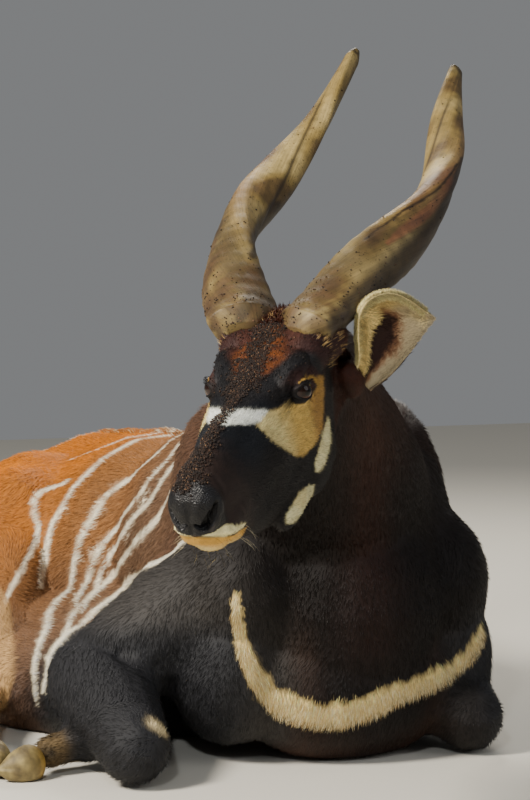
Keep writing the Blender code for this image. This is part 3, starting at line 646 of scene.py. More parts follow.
def makeSkin():
    skin = joinedPieces()
    remesh = skin.modifiers.new("melt", "REMESH")
    remesh.mode = "VOXEL"
    remesh.voxel_size = skinValues["voxel"]
    applyAll(skin)
    places = verticesOf(skin.data)
    share = headShare(places)
    edges = readRows(skin.data.edges, "vertices", 2)
    places = evened(places, edges, skinValues["headRounds"])
    places = evened(places, edges, skinValues["bodyRounds"], 1 - share[:, None])
    moveVertices(skin.data, places)
    group = skin.vertex_groups.new(name="body")
    for index, value in enumerate(share):
        if value < 0.95:
            group.add((index,), float(1 - value), "REPLACE")
    lighten = skin.modifiers.new("lighten", "DECIMATE")
    lighten.ratio = skinValues["triangles"] / (len(skin.data.polygons) * 2)
    lighten.vertex_group = "body"
    lighten.vertex_group_factor = 1.0
    applyAll(skin)
    # Haunches and shoulder blades are knit together, the legs and the folds between them stay
    places = verticesOf(skin.data)
    lie = places - shiftArray
    knit = steps(0.58, 0.72, lie[:, 1]) * steps(0.08, 0.16, lie[:, 2])
    knit = np.maximum(knit, steps(-0.06, 0.04, lie[:, 1]) * steps(0.30, 0.40, lie[:, 2]))
    edges = readRows(skin.data.edges, "vertices", 2)
    places = filled(skin.data, places, edges, skinValues["fillRounds"], knit * (1 - headShare(places)))
    moveVertices(skin.data, evened(places, edges, skinValues["afterFill"], 1 - headShare(places)[:, None]))
    for reach in (1.25, 1.0):
        refine(skin, nearFeatures(verticesOf(skin.data), reach))
    places = verticesOf(skin.data)
    share = headShare(places)
    places = evened(places, readRows(skin.data.edges, "vertices", 2), skinValues["afterRefine"])
    moveVertices(skin.data, places)
    normals = normalsOf(skin.data)
    lie = headPlaces(places)
    moves = strokeMoves(folded(lie), headStrokes) * headUnit
    gap, wide = bandOf(folded(lie), nostril["path"], nostril["wide"])
    moves -= nostril["deep"] * headUnit * (1 - steps(0.55, 1.0, gap / wide))
    moves *= share
    moves += strokeMoves(places - shiftArray, bodyStrokes) * (1 - share)
    depth = skinValues["coatDepth"] * (1 - skinValues["headCoat"] * share)
    places = places + normals * (moves - depth)[:, None]
    lie = headPlaces(places)
    for side in (1, -1):
        lie = lie + lidMoves(lie, side)
    near = share > 0.5
    places[near] = moved(lie, np.array(toWorld))[near]
    places[:, 2] = np.maximum(places[:, 2], skinValues["floorGap"])
    moveVertices(skin.data, places)
    skin.data.shade_smooth()
    return skin


skin = makeSkin()
print("stage 3: skin", len(skin.data.polygons), "faces")

# Markings, read by the skin and by every tuft

stripes = {
    # half width, and places down the flank from the spine: how far out, how far back, how high
    "thighEdge": (0.0060, ((0.21, 0.791, 0.406), (0.232, 0.815, 0.395), (0.262, 0.809, 0.384), (0.281, 0.787, 0.355),
                           (0.28, 0.761, 0.313), (0.326, 0.708, 0.264), (0.373, 0.655, 0.224), (0.407, 0.619, 0.192))),
    "rump": (0.0065, ((0.0, 0.785, 0.499), (0.075, 0.800, 0.491), (0.10, 0.817, 0.481), (0.127, 0.85, 0.464),
                      (0.158, 0.905, 0.437))),
    "second": (0.0085, ((0.0, 0.735, 0.497), (0.078, 0.750, 0.489), (0.172, 0.744, 0.439), (0.233, 0.746, 0.372),
                        (0.261, 0.742, 0.314), (0.285, 0.72, 0.255), (0.305, 0.689, 0.215))),
    "third": (0.0090, ((0.0, 0.49, 0.543), (0.06, 0.50, 0.53), (0.125, 0.516, 0.491), (0.157, 0.60, 0.435),
                       (0.19, 0.628, 0.40), (0.217, 0.633, 0.357), (0.25, 0.648, 0.285), (0.29, 0.63, 0.23),
                       (0.325, 0.585, 0.19), (0.381, 0.475, 0.161), (0.424, 0.40, 0.117), (0.427, 0.368, 0.059))),
    "fourth": (0.0080, ((0.0, 0.415, 0.552), (0.08, 0.425, 0.525), (0.164, 0.428, 0.468), (0.191, 0.456, 0.423),
                        (0.204, 0.495, 0.384), (0.21, 0.568, 0.326), (0.231, 0.600, 0.276), (0.253, 0.60, 0.224),
                        (0.291, 0.545, 0.203))),
    "fifth": (0.0080, ((0.0, 0.345, 0.560), (0.08, 0.36, 0.53), (0.14, 0.375, 0.48), (0.20, 0.39, 0.417),
                       (0.212, 0.431, 0.381), (0.215, 0.508, 0.332), (0.214, 0.555, 0.294), (0.229, 0.578, 0.255),
                       (0.25, 0.560, 0.226), (0.298, 0.498, 0.197))),
    "sixth": (0.0085, ((0.0, 0.245, 0.573), (0.10, 0.26, 0.53), (0.17, 0.295, 0.45), (0.218, 0.349, 0.371),
                       (0.224, 0.415, 0.333), (0.224, 0.486, 0.287), (0.227, 0.555, 0.245), (0.263, 0.545, 0.218),
                       (0.309, 0.509, 0.193), (0.368, 0.406, 0.168))),
    "shoulder": (0.0095, ((0.235, 0.12, 0.385), (0.253, 0.135, 0.36), (0.273, 0.218, 0.317),
                          (0.245, 0.36, 0.275), (0.225, 0.478, 0.242), (0.271, 0.481, 0.207), (0.335, 0.433, 0.182),
                          (0.40, 0.385, 0.145), (0.417, 0.355, 0.114), (0.425, 0.354, 0.085))),
    "hindmost": (0.0065, ((0.0, 1.13, 0.48), (0.09, 1.15, 0.465), (0.19, 1.18, 0.41), (0.25, 1.19, 0.33))),
}


def nearestOnSkin(points):
    # Drops points onto the skin
    tree = skin.evaluated_get(bpy.context.evaluated_depsgraph_get())
    places = []
    normals = []
    for point in points:
        place, normal = tree.closest_point_on_mesh(Vector(point))[1:3]
        places.append(tuple(place))
        normals.append(tuple(normal))
    return np.array(places), np.array(normals)


flankLines = []
for wide, path in stripes.values():
    for side in (-1, 1):
        laid = nearestOnSkin(smoothPath([(side * x, y, z) for x, y, z in path], 6) + shiftArray)[0]
        flankLines.append((laid - shiftArray, wide))

crescent = {
    "path": ((236, 596), (237, 618), (243, 646), (257, 678), (280, 703), (309, 713), (336, 715), (364, 709), (401, 692),
             (436, 679), (462, 662), (477, 642), (481, 630)),
    "wide": (3.5, 5.0, 7.0, 9.5, 11.0, 12.0, 11.5, 10.5, 8.5, 7.5, 6.0, 4.5, 3.0),
}
shankPatch = ((-60, 560), (-20, 575), (0, 589), (9, 602), (13, 640), (13, 682), (6, 706), (-20, 725), (-60, 730))
bodyPaint = palette(
    neck="#0c0605", neckRed="#361608", withers="#432c22", shoulder="#3a3735", foreleg="#202125", flankFront="#6f543f",
    flank="#93602f", haunch="#b96a12", belly="#3a2416", stripe="#f1e6cb", crescent="#dcc384", shank="#b5905f",
    tail="#5a2a0e", cream="#d8c497", muddy="#5b4a2f",
)
# bridge is dark hair with a painted bluish sheen, orange is chestnut hair with a painted highlight, rim is a painted
# highlight on the nostril rims
facePaint = palette(
    dark="#110d0d", bridge="#13151a", forehead="#472a22", orange="#6f3d1a", brow="#1a191b", chevron="#e2e4d8",
    cheek="#c4a258", cheekEdge="#8a5a22", spot="#ddd3a2", lid="#090607", lidLine="#a5803a", lip="#c29544",
    upperLip="#d8ce9c", mouth="#4a210a", nose="#0c0b0d", mud="#2c1c12", poll="#6e3214", muzzle="#241915",
    temple="#2e1a18", rim="#4a4442",
)
# Patches of the near side of the face as they lie on the photograph; the far side has the same
facePatches = {
    "cheek": ((257, 425), (267, 413), (284, 406), (301, 403), (312, 396), (317, 386), (318, 376), (323, 375),
              (324, 391), (322, 429), (316, 443), (303, 456), (296, 456), (284, 449), (272, 440), (263, 431)),
    "chevron": ((206, 412), (221, 411), (242, 409), (265, 410), (270, 413), (262, 422), (250, 424), (232, 425),
                (206, 424)),
    "spotHigh": ((328, 416), (331, 431), (330, 448), (325, 464), (319, 473), (315, 471), (316, 458), (320, 444),
                 (323, 431)),
    "spotLow": ((314, 485), (312, 496), (305, 510), (294, 523), (287, 524), (286, 517), (291, 506), (299, 493),
                (309, 485)),
    "upperLip": ((190, 541), (206, 534), (214, 528), (225, 523), (236, 526), (247, 522), (243, 528), (227, 537),
                 (213, 539), (192, 543)),
    "orange": ((262, 318), (281, 325), (286, 350), (287, 368), (279, 378), (266, 382), (262, 365), (255, 340)),
}
faceLines = {
    "brow": (((322, 372), (314, 361), (302, 358), (290, 364), (277, 376), (262, 389), (243, 398), (222, 402),
              (208, 402)), (3, 6, 7, 7, 8, 8, 8, 7, 6)),
    "lidLine": (((298, 383), (304, 379), (311, 377), (316, 380), (319, 387)), (0.5, 1.1, 1.7, 1.9, 1.3)),
    "tear": (((300, 399), (292, 400), (284, 397), (276, 402)), (3.0, 3.0, 2.0, 1.0)),
}


def facePixels(lie):
    # Where a place of the head, folded to the near side, lies on the photograph
    return viewPlace(moved(lie, np.array(headMatrix())))


def patchShare(pixels, name, soft):
    return steps(-soft, soft, insidePatch(pixels, facePatches[name]))


def lineShare(pixels, name, soft):
    gap, wide = bandOf(pixels, *faceLines[name])
    return 1 - steps(-soft, soft, gap - wide)


def stripeShare(points, grow=1.0):
    # How white each place is
    points = points + wobbles(points, 0.045, (5, 6, 7)) * 0.0012
    out = np.zeros(len(points))
    for line, wide in flankLines:
        reach = 1.6 * wide * grow
        near = np.flatnonzero(np.all((points > line.min(0) - reach) & (points < line.max(0) + reach), axis=1))
        if len(near):
            gap, along = pathDistance(points[near], line)
            thin = wide * grow * (0.98 - 0.34 * along) * (0.70 + 0.30 * np.minimum(1, 6 * (1 - along)))
            out[near] = np.maximum(out[near], 1 - steps(0.62, 1.40, gap / thin))
    return out


def shoulderSide(points):
    # Above 0 behind the shoulder stripe, below 0 ahead of it, in metres
    path = smoothPath([(0.04, 0.56), (0.07, 0.47), *(point[1:] for point in stripes["shoulder"][1])])
    gap, along = pathDistance(points[:, 1:], path)
    index = np.clip((along * (len(path) - 1)).astype(int), 0, len(path) - 2)
    way = path[index + 1] - path[index]
    away = points[:, 1:] - path[index]
    return np.where(way[:, 0] * away[:, 1] - way[:, 1] * away[:, 0] > 0, gap, -gap)


def bodyColour(points, normals):
    x, y, z = points.T
    aside = np.abs(x)
    blot = wobble(points, 0.22, 21)
    fine = wobble(points, 0.035, 22)
    ahead = (1 - steps(-0.005, 0.005, shoulderSide(points))) * (1 - steps(0.50, 0.58, y)) * steps(0.10, 0.16, aside)
    neck = 1 - steps(-0.04, 0.16, y + 0.35 * (aside - 0.18) - 0.3 * (z - 0.4) + 0.02 * blot)
    throat = pathGap(points, ((-0.02, -0.10, 0.22), (-0.03, -0.11, 0.40), (-0.10, -0.20, 0.56)))
    nape = neck * steps(0.42, 0.60, z) * steps(-0.02, 0.10, x + 0.35 * (z - 0.5) + 0.16)
    # Painted shade: the top of the far side, by the withers, is painted darker where the rim lamp would light it pale
    farSideShade = steps(0.02, 0.08, x) * (1 - steps(0.20, 0.34, y)) * steps(0.30, 0.40, z)
    foreleg = (1 - steps(0.20, 0.26, z)) * (1 - steps(0.36, 0.46, y)) * steps(0.16, 0.24, aside)
    # The chest crescent lies on the front of the body only
    onPhoto = viewPlace(points)
    gap, wide = bandOf(onPhoto + np.outer(2.0 * fine, (0, 1)), crescent["path"], crescent["wide"])
    chest = (1 - steps(0.72, 1.15, gap / wide)) * (1 - steps(0.02, 0.10, y)) * (normals[:, 1] < 0.35)
    # Inner forearm, shanks and a muddy right forefoot
    forearm = pathDistance(points, np.array(((-0.40, -0.085, 0.118), (-0.375, -0.075, 0.098))))[0]
    shank = steps(-2.5, 2.5, insidePatch(onPhoto + np.stack((fine, blot), 1), shankPatch)) * (x < -0.30) * (y > 0.15)
    farShank = pathGap(points, ((0.30, 1.0, 0.09), (0.33, 0.86, 0.05)))
    foot, along = pathDistance(points, np.array(((-0.47, 0.103, 0.05), (-0.60, 0.09, 0.03))))
    out = layered(
        bodyPaint["flankFront"], bodyPaint,
        ("flank", steps(0.40, 0.80, y + 0.05 * blot + 0.5 * (z - 0.33))),
        ("haunch", steps(0.68, 0.98, y + 0.04 * blot + 0.25 * (z - 0.3))),
        ("belly", (1 - steps(0.04, 0.20, z)) * (1 - steps(0.9, 1.1, y)) * 0.7),
        ("withers", (1 - steps(0.12, 0.42, y + 0.02 * blot)) * 0.8),
        ("shoulder", ahead),
        ("neck", neck),
        ("neckRed", 0.42 * neck * np.exp(-(throat / 0.05) ** 2) * (0.8 + 0.3 * blot)),
        ("withers", 0.50 * nape),
        (bodyPaint["neck"] * 1.6, 0.6 * farSideShade),
        ("foreleg", foreleg * 0.85),
        ("stripe", stripeShare(points)),
        (bodyPaint["crescent"] * (1 + 0.12 * fine)[:, None], chest),
        ("cream", (1 - steps(0.010, 0.024, forearm)) * 0.9),
        ("shank", shank * (0.85 + 0.15 * fine)),
        ("shank", (1 - steps(0.03, 0.055, farShank + 0.010 * fine)) * 0.85),
        (bodyPaint["muddy"] * (1 + 0.3 * fine)[:, None],
         0.85 * ((1 - steps(0.030, 0.048, foot + 0.006 * fine)) * steps(0.0, 0.25, along))),
        ("tail", steps(1.33, 1.36, y) * 0.8),
    )
    return out * (1 + 0.07 * blot + 0.05 * fine)[:, None]


def faceColour(places):
    lie = folded(places)
    x, y, z = lie.T
    blot = wobble(places, 9.0, 31)
    fine = wobble(places, 1.6, 32)
    pixels = facePixels(lie)
    pixels += wobbles(places, 1.1, (33, 34)) * 0.5
    pixels += wobbles(places, 0.35, (35, 36)) * 0.45
    onSide = y > 2.0
    top = steps(-5.0, -2.2, z + 0.4 * fine) * (1 - steps(16.5, 20.5, x + 0.5 * y + 0.5 * blot))
    poll = pathGap(lie, ((2.0, 2.0, 1.8), (0.0, 0.0, 1.0)))
    nape = (1 - steps(2.0, 5.0, x + 0.6 * blot)) * (0.7 + 0.3 * steps(6.0, 8.0, y))
    cheek = layered(facePaint["cheek"], facePaint, ("cheekEdge", 0.6 * (1 - steps(11.5, 15.5, x + 0.5 * blot))),
                    ("upperLip", 0.55 * steps(18.0, 23.0, x)))
    spot = mixed(facePaint["spot"], facePaint["cheek"], 0.35 * steps(0, 1, blot))
    # The dark skin round the eye
    eye = np.array(headLie["eyeSeat"])
    ring = np.linalg.norm(np.stack((x - eye[0], (z - eye[2]) * 1.35), 1), axis=1)
    # Nostril rims with a painted highlight, lips and chin
    rim = pathGap(lie, ((41.9, 2.6, -7.3), (41.4, 3.6, -6.0), (40.6, 4.2, -4.6), (39.6, 4.4, -3.2)))
    lipLine = smoothPath(headStrokes[lipStroke][0])
    gap, along = pathDistance(lie, lipLine)
    below = steps(-0.10, 0.20, valueAt(along, lipLine[:, 2]) - z)
    out = layered(
        facePaint["dark"], facePaint,
        # Painted sheen: the bridge of the nose is dark hair with a painted bluish tint
        ("bridge", steps(-7.5, -3.5, z + 0.5 * blot) * steps(19.0, 22.0, x)),
        ("forehead", top),
        ("temple", top * steps(3.4, 5.2, y + 0.4 * fine) * 0.9),
        # The orange patch: chestnut hair, with a painted highlight where the forehead is lit
        ("orange", patchShare(pixels, "orange", 5.0) * top * (0.62 + 0.26 * fine)),
        ("poll", 0.7 * np.exp(-(poll / 2.4) ** 2)),
        ("brow", lineShare(pixels, "brow", 3.5) * (z > -4.5)),
        (bodyPaint["neckRed"], nape * 0.9),
        ("muzzle", steps(29.0, 36.0, x + 0.6 * fine)),
        (facePaint["chevron"] * (1 + 0.05 * fine)[:, None], patchShare(pixels, "chevron", 1.3) * (z > -4.0)),
        (cheek, patchShare(pixels, "cheek", 1.6) * onSide * (z > -16)),
        (spot, patchShare(pixels, "spotHigh", 1.1) * onSide * (z < -6)),
        (spot, patchShare(pixels, "spotLow", 1.1) * onSide * (z < -6)),
        ("lid", (1 - steps(1.95, 2.5, ring + 0.1 * fine)) * (y > 3.5)),
        ("lid", lineShare(pixels, "tear", 1.2) * onSide * (z > -9)),
        ("lidLine", 0.9 * lineShare(pixels, "lidLine", 0.8) * onSide * (z > -6)),
        ("nose", steps(38.8, 39.9, x + 0.3 * fine) * steps(-8.6, -7.6, z)),
        # Painted highlight: a pale grey line along each nostril's rim
        ("rim", 0.8 * (1 - steps(0.15, 0.6, rim))),
        (mixed(facePaint["lip"], facePaint["upperLip"], 0.5 * steps(1.5, 4, gap)),
         below * steps(32.8, 34.6, x + 0.4 * fine) * (gap < 5)),
        (facePaint["upperLip"] * (1 + 0.15 * fine)[:, None],
         patchShare(pixels, "upperLip", 1.0) * (1 - below) * (z < -7.6) * 0.95),
        ("mouth", (1 - steps(0.10, 0.30, gap)) * steps(33.0, 34.0, x)),
    )
    return out * (1 + 0.06 * blot + 0.07 * fine)[:, None]


# Where mud lies down the face
mudPath = ((-1.0, -0.6, 1.0), (3.0, -0.8, 2.0), (9.0, -0.6, 1.6), (16.0, -0.4, 0.9), (20.5, -0.3, 0.5),
           (24.0, -0.3, 0.3), (30.0, -0.4, 0.0), (36.0, -0.6, -0.5), (39.5, -0.6, -1.3))
mudWide = (3.3, 3.0, 2.2, 2.4, 2.2, 0.9, 1.2, 1.9, 2.1)


def mudShare(places):
    gap, wide = bandOf(places, mudPath, mudWide)
    return 1 - steps(0.35, 1.25, gap / wide + 0.28 * wobble(places, 2.2, 41))


def coatColour(points, normals):
    share = headShare(points)
    body = share < 0.999
    face = share > 0.001
    out = np.zeros((len(points), 3))
    out[body] = bodyColour(points[body] - shiftArray, normals[body]) * (1 - share[body])[:, None]
    lie = headPlaces(points[face])
    out[face] += mixed(faceColour(lie), facePaint["mud"], 0.55 * mudShare(lie)) * share[face][:, None]
    return np.clip(out, 0.0015, 1)


# The lie of the hair

legs = {
    "foreLeft": ((0.19, 0.10, 0.28), (0.262, 0.29, 0.135), (0.19, -0.05, 0.06), (0.17, 0.18, 0.038),
                 (0.20, 0.34, 0.03)),
    "foreRight": ((-0.19, 0.10, 0.28), (-0.392, 0.18, 0.128), (-0.418, -0.045, 0.062), (-0.435, 0.105, 0.045),
                  (-0.575, 0.09, 0.03)),
    "hindLeft": ((0.13, 1.08, 0.30), (0.30, 0.80, 0.20), (0.27, 1.14, 0.075), (0.33, 0.86, 0.04), (0.34, 0.70, 0.028)),
    "hindRight": ((-0.13, 1.08, 0.30), (-0.32, 0.86, 0.26), (-0.46, 0.53, 0.075), (-0.575, 0.25, 0.042),
                  (-0.615, 0.07, 0.028)),
}
# A place and the way that the hair points there; the head's and the flank's rows count for both sides
headFlow = (
    ((41.0, 0, -3.0), (-1, 0, 0.3)), ((34.0, 0, -0.4), (-1, 0, 0.05)), ((24.0, 0, 0.2), (-1, 0, 0.1)),
    ((14.0, 0, 1.0), (-1, 0, 0.1)), ((6.0, 0, 1.4), (-0.8, 0, 0.3)), ((16.0, 6.0, -1.0), (-1, 0.5, 0.2)),
    ((38.0, 3.8, -6.0), (-1, 0.3, -0.2)), ((30.0, 4.6, -7.0), (-1, 0.3, -0.2)), ((20.0, 6.0, -8.0), (-1, 0.2, -0.35)),
    ((9.0, 7.0, -8.0), (-0.8, 0.2, -0.6)), ((14.0, 6.0, -15.0), (-0.8, 0.1, -0.6)),
    ((6.0, 6.0, -19.0), (-0.5, 0.1, -0.9)), ((30.0, 3.0, -15.0), (-1, 0.0, -0.5)),
    ((38.0, 1.5, -12.5), (-0.6, 0.1, -0.8)), ((24.0, 0.0, -19.0), (-1, 0.0, -0.3)),
)
bodyFlow = (
    ((-0.22, -0.17, 0.66), (0.40, 0.60, -0.45)), ((-0.12, -0.02, 0.58), (0.35, 0.65, -0.45)),
    ((-0.20, -0.24, 0.55), (0.25, 0.25, -0.95)), ((-0.10, -0.16, 0.45), (0.15, 0.10, -1)),
    ((-0.20, -0.10, 0.50), (0.15, 0.45, -0.9)), ((0.0, -0.12, 0.30), (0.0, 0.05, -1)),
    ((0.0, -0.08, 0.12), (0.0, 0.35, -1)), ((0.0, 0.25, 0.56), (0, 1, -0.1)), ((0.0, 0.60, 0.50), (0, 1, -0.05)),
    ((0.0, 1.00, 0.48), (0, 1, -0.15)), ((0.0, 1.30, 0.36), (0, 0.3, -1)),
)
flankFlow = (
    ((0.24, 0.10, 0.38), (0.1, 0.55, -0.85)), ((0.27, 0.40, 0.36), (0, 0.80, -0.60)),
    ((0.27, 0.65, 0.30), (0, 0.85, -0.55)), ((0.34, 0.45, 0.12), (0, 0.75, -0.65)),
    ((0.20, 1.00, 0.40), (0.35, 0.10, -0.9)), ((0.30, 0.95, 0.22), (0.2, -0.2, -0.9)),
    ((0.10, 1.32, 0.20), (0, 0.1, -1)),
)
tailFlow = (
    ((0.01, 1.385, 0.30), (0.02, 0.03, -0.13)), ((0.03, 1.415, 0.17), (0.03, 0.01, -0.10)),
    ((0.12, 1.435, 0.03), (0.08, -0.01, 0)),
)
flowSizes = {"head": 0.045, "body": 0.09, "leg": 0.045, "tail": 0.03}


def flowSources():
    # Place, way and reach of every known lie of the hair
    sources = []
    for place, way in headFlow:
        for side in (1, -1):
            at = toWorld @ Vector((place[0], place[1] * side, place[2]))
            lie = toWorld.to_3x3() @ Vector((way[0], way[1] * side, way[2]))
            sources.append((at, lie.normalized(), flowSizes["head"]))
    twins = [((place[0] * side, *place[1:]), (way[0] * side, *way[1:])) for place, way in flankFlow for side in (-1, 1)]
    for place, way in (*bodyFlow, *twins):
        sources.append((Vector(place) + shift, Vector(way).normalized(), flowSizes["body"]))
    for joints in legs.values():
        for start, end in zip(joints[1:], joints[2:]):
            for part in (0.2, 0.7):
                at = Vector(start).lerp(Vector(end), part) + shift
                sources.append((at, (Vector(end) - Vector(start)).normalized(), flowSizes["leg"]))
    for place, way in tailFlow:
        sources.append((Vector(place) + shift, Vector(way).normalized(), flowSizes["tail"]))
    return sources


def flowOf(points, normals):
    # The way the hair lies at each place: a blend of the nearest known ways, laid flat on the skin
    total = np.zeros_like(points)
    for at, way, size in flowSources():
        gap = np.sum((points - np.array(at)) ** 2, axis=1) / size ** 2
        total += np.array(way) / (0.15 + gap[:, None]) ** 2
    return laidFlat(unit(total) + wobbles(points, 0.18, (51, 52, 53)) * 0.16, normals)


# Materials of hair and hide


def mottled(tree, tint, noise, spread, tones):
    # A colour that a noise makes darker and paler
    shade = addNode(tree, "ShaderNodeMapRange", {"Value": noise.outputs["Fac"], "From Min": spread[0],
                                                 "From Max": spread[1], "To Min": tones[0], "To Max": tones[1]})
    blend = addNode(tree, "ShaderNodeVectorMath", {0: tint, 1: shade.outputs["Result"]}, operation="MULTIPLY")
    return blend.outputs["Vector"]


def paintedMaterial(name, roughness, scale, detail, spread, tones, bump=None, **sockets):
    # Shows the piece's painted colours, mottled by one noise that also raises its grain
    look, tree, shader = newMaterial(name, roughness, **sockets)
    paint = addNode(tree, "ShaderNodeAttribute", attribute_name="coat")
    place = addNode(tree, "ShaderNodeTexCoord")
    grain = addNode(tree, "ShaderNodeTexNoise", {"Vector": place.outputs["Object"], "Scale": scale, "Detail": detail})
    tree.links.new(mottled(tree, paint.outputs["Color"], grain, spread, tones), shader.inputs["Base Color"])
    if bump:
        relief = addNode(tree, "ShaderNodeBump", {"Height": grain.outputs["Fac"], "Distance": bump, "Strength": 0.6})
        tree.links.new(relief.outputs["Normal"], shader.inputs["Normal"])
    return look


# Hair and hide: keratin fibres that lie close, soft at the edge, so fairly rough and with little shine
hideValues = {"detail": 4.0, "spread": (0.3, 0.7), "tones": (0.78, 1.18), "Specular_IOR_Level": 0.22}
skinLook = paintedMaterial("short_hair_over_hide", 0.62, 900.0, bump=0.0008, **hideValues)
coatLook = paintedMaterial("hair_tufts", 0.52, 1400.0, bump=0.0004, **hideValues)


def noseMaterial():
    # Bare nose leather: fine cobbles of about 2 mm, damp and so a little shinier in places
    look, tree, shader = newMaterial("wet_nose_leather", 0.30, Specular_IOR_Level=0.26)
    place = addNode(tree, "ShaderNodeTexCoord")
    paint = addNode(tree, "ShaderNodeAttribute", attribute_name="coat")
    cells = addNode(tree, "ShaderNodeTexVoronoi", {"Vector": place.outputs["Object"], "Scale": 420.0})
    bump = addNode(tree, "ShaderNodeBump", {"Height": cells.outputs["Distance"], "Distance": 0.0010, "Strength": 0.8})
    wear = addNode(tree, "ShaderNodeTexNoise", {"Vector": place.outputs["Object"], "Scale": 160.0, "Detail": 4.0})
    wet = addNode(tree, "ShaderNodeMapRange", {"Value": wear.outputs["Fac"], "From Min": 0.35, "From Max": 0.65,
                                               "To Min": 0.32, "To Max": 0.56})
    tree.links.new(wet.outputs["Result"], shader.inputs["Roughness"])
    tree.links.new(paint.outputs["Color"], shader.inputs["Base Color"])
    tree.links.new(bump.outputs["Normal"], shader.inputs["Normal"])
    return look


def paintSkin():
    mesh = skin.data
    places = verticesOf(mesh)
    setColour(mesh, "coat", coatColour(places, normalsOf(mesh)))
    mesh.materials.clear()
    mesh.materials.append(skinLook)
    mesh.materials.append(noseMaterial())
    lie = headPlaces(places)
    pad = ((lie[:, 0] > 39.3) & (lie[:, 2] > -8.3))[readRows(mesh.polygons, "vertices", 3)].all(1)
    mesh.polygons.foreach_set("material_index", pad.astype(np.int32))
    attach(skin, "root")
    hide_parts(*fleshNodes)


paintSkin()
print("stage 4: skin painted")


def unwrapSkin():
    # The coat's own map goes by this one
    bpy.ops.object.select_all(action="DESELECT")
    bpy.context.view_layer.objects.active = skin
    skin.select_set(True)
    skin.data.uv_layers.new(name="OFBake")
    bpy.ops.object.mode_set(mode="EDIT")
    bpy.ops.mesh.select_all(action="SELECT")
    bpy.ops.uv.smart_project(angle_limit=math.radians(70), island_margin=0.001)
    bpy.ops.object.mode_set(mode="OBJECT")
    skin.select_set(False)


unwrapSkin()
print("stage 5: skin unwrapped")


class Surface:
    # The skin's triangles as arrays, to draw roots from

    def __init__(self, obj):
        mesh = obj.data
        mesh.calc_loop_triangles()
        self.corners = readRows(mesh.loop_triangles, "vertices", 3)
        self.places = verticesOf(mesh)
        self.normals = normalsOf(mesh)
        flat = readRows(mesh.uv_layers["OFBake"].data, "uv", 2, np.float32)
        self.flat = flat[readRows(mesh.loop_triangles, "loops", 3)]
        a, b, c = (self.places[self.corners[:, index]] for index in range(3))
        self.area = np.linalg.norm(np.cross(b - a, c - a), axis=1) / 2
        self.middle = (a + b + c) / 3

    def draw(self, perArea, seed):
        # Roots at random, perArea of them a square metre on each triangle
        dice = np.random.default_rng(seed)
        wanted = self.area * perArea
        count = np.floor(wanted + dice.random(len(wanted))).astype(int)
        chosen = np.repeat(np.arange(len(wanted)), count)
        share = dice.random((len(chosen), 2))
        over = share.sum(1) > 1
        share[over] = 1 - share[over]
        weights = np.stack((1 - share.sum(1), share[:, 0], share[:, 1]), 1)
        corners = self.corners[chosen]
        places = np.einsum("ij,ijk->ik", weights, self.places[corners])
        normals = unit(np.einsum("ij,ijk->ik", weights, self.normals[corners]))
        flat = np.einsum("ij,ijk->ik", weights, self.flat[chosen])
        return places, normals, flat


tufts = {
    "sunk": 0.0012,  # how far a root lies inside the skin
    "patch": 0.0015,  # half of what a tuft's patch of the map is wide
    "floorGap": 0.004,
    "mostFaces": 196000,
    "thick": 0.40,
}


def tuftArrays(roots, normals, ways, lengths, widths, lifts, bends, bent):
    # Three-sided hairs drawn to a point: straight ones of 4 faces, or bent ones of 10
    across = np.cross(normals, ways)
    half = widths[:, None] / 2
    thick = normals * widths[:, None] * tufts["thick"]
    sunk = roots - normals * tufts["sunk"]
    reach, lift, bend = lengths[:, None], lifts[:, None], bends[:, None]
    base = (sunk - across * half, sunk + across * half, sunk + thick - ways * half * 0.4)
    tip = roots + ways * reach * np.cos(lift) + normals * reach * np.sin(lift) - normals * reach * bend
    if not bent:
        places = np.stack((*base, tip), 1)
        faces = np.array(((0, 2, 1), (0, 1, 3), (1, 2, 3), (2, 0, 3)))
        along = np.array((0, 0, 0, 1.0))
    else:
        middle = roots + ways * reach * 0.5 * np.cos(lift * 1.35) + normals * reach * 0.5 * np.sin(lift * 1.35)
        wide = half * 0.82
        rows = (middle - across * wide, middle + across * wide, middle + thick * 0.8)
        places = np.stack((*base, *rows, tip), 1)
        faces = np.array(((0, 2, 1), (0, 1, 4), (0, 4, 3), (1, 2, 5), (1, 5, 4), (2, 0, 3), (2, 3, 5), (3, 4, 6),
                          (4, 5, 6), (5, 3, 6)))
        along = np.array((0, 0, 0, 0.5, 0.5, 0.5, 1.0))
    count = len(roots)
    size = places.shape[1]
    triangles = faces[None] + (np.arange(count) * size)[:, None, None]
    return places.reshape(-1, 3), triangles.reshape(-1, 3), np.tile(along, count), size


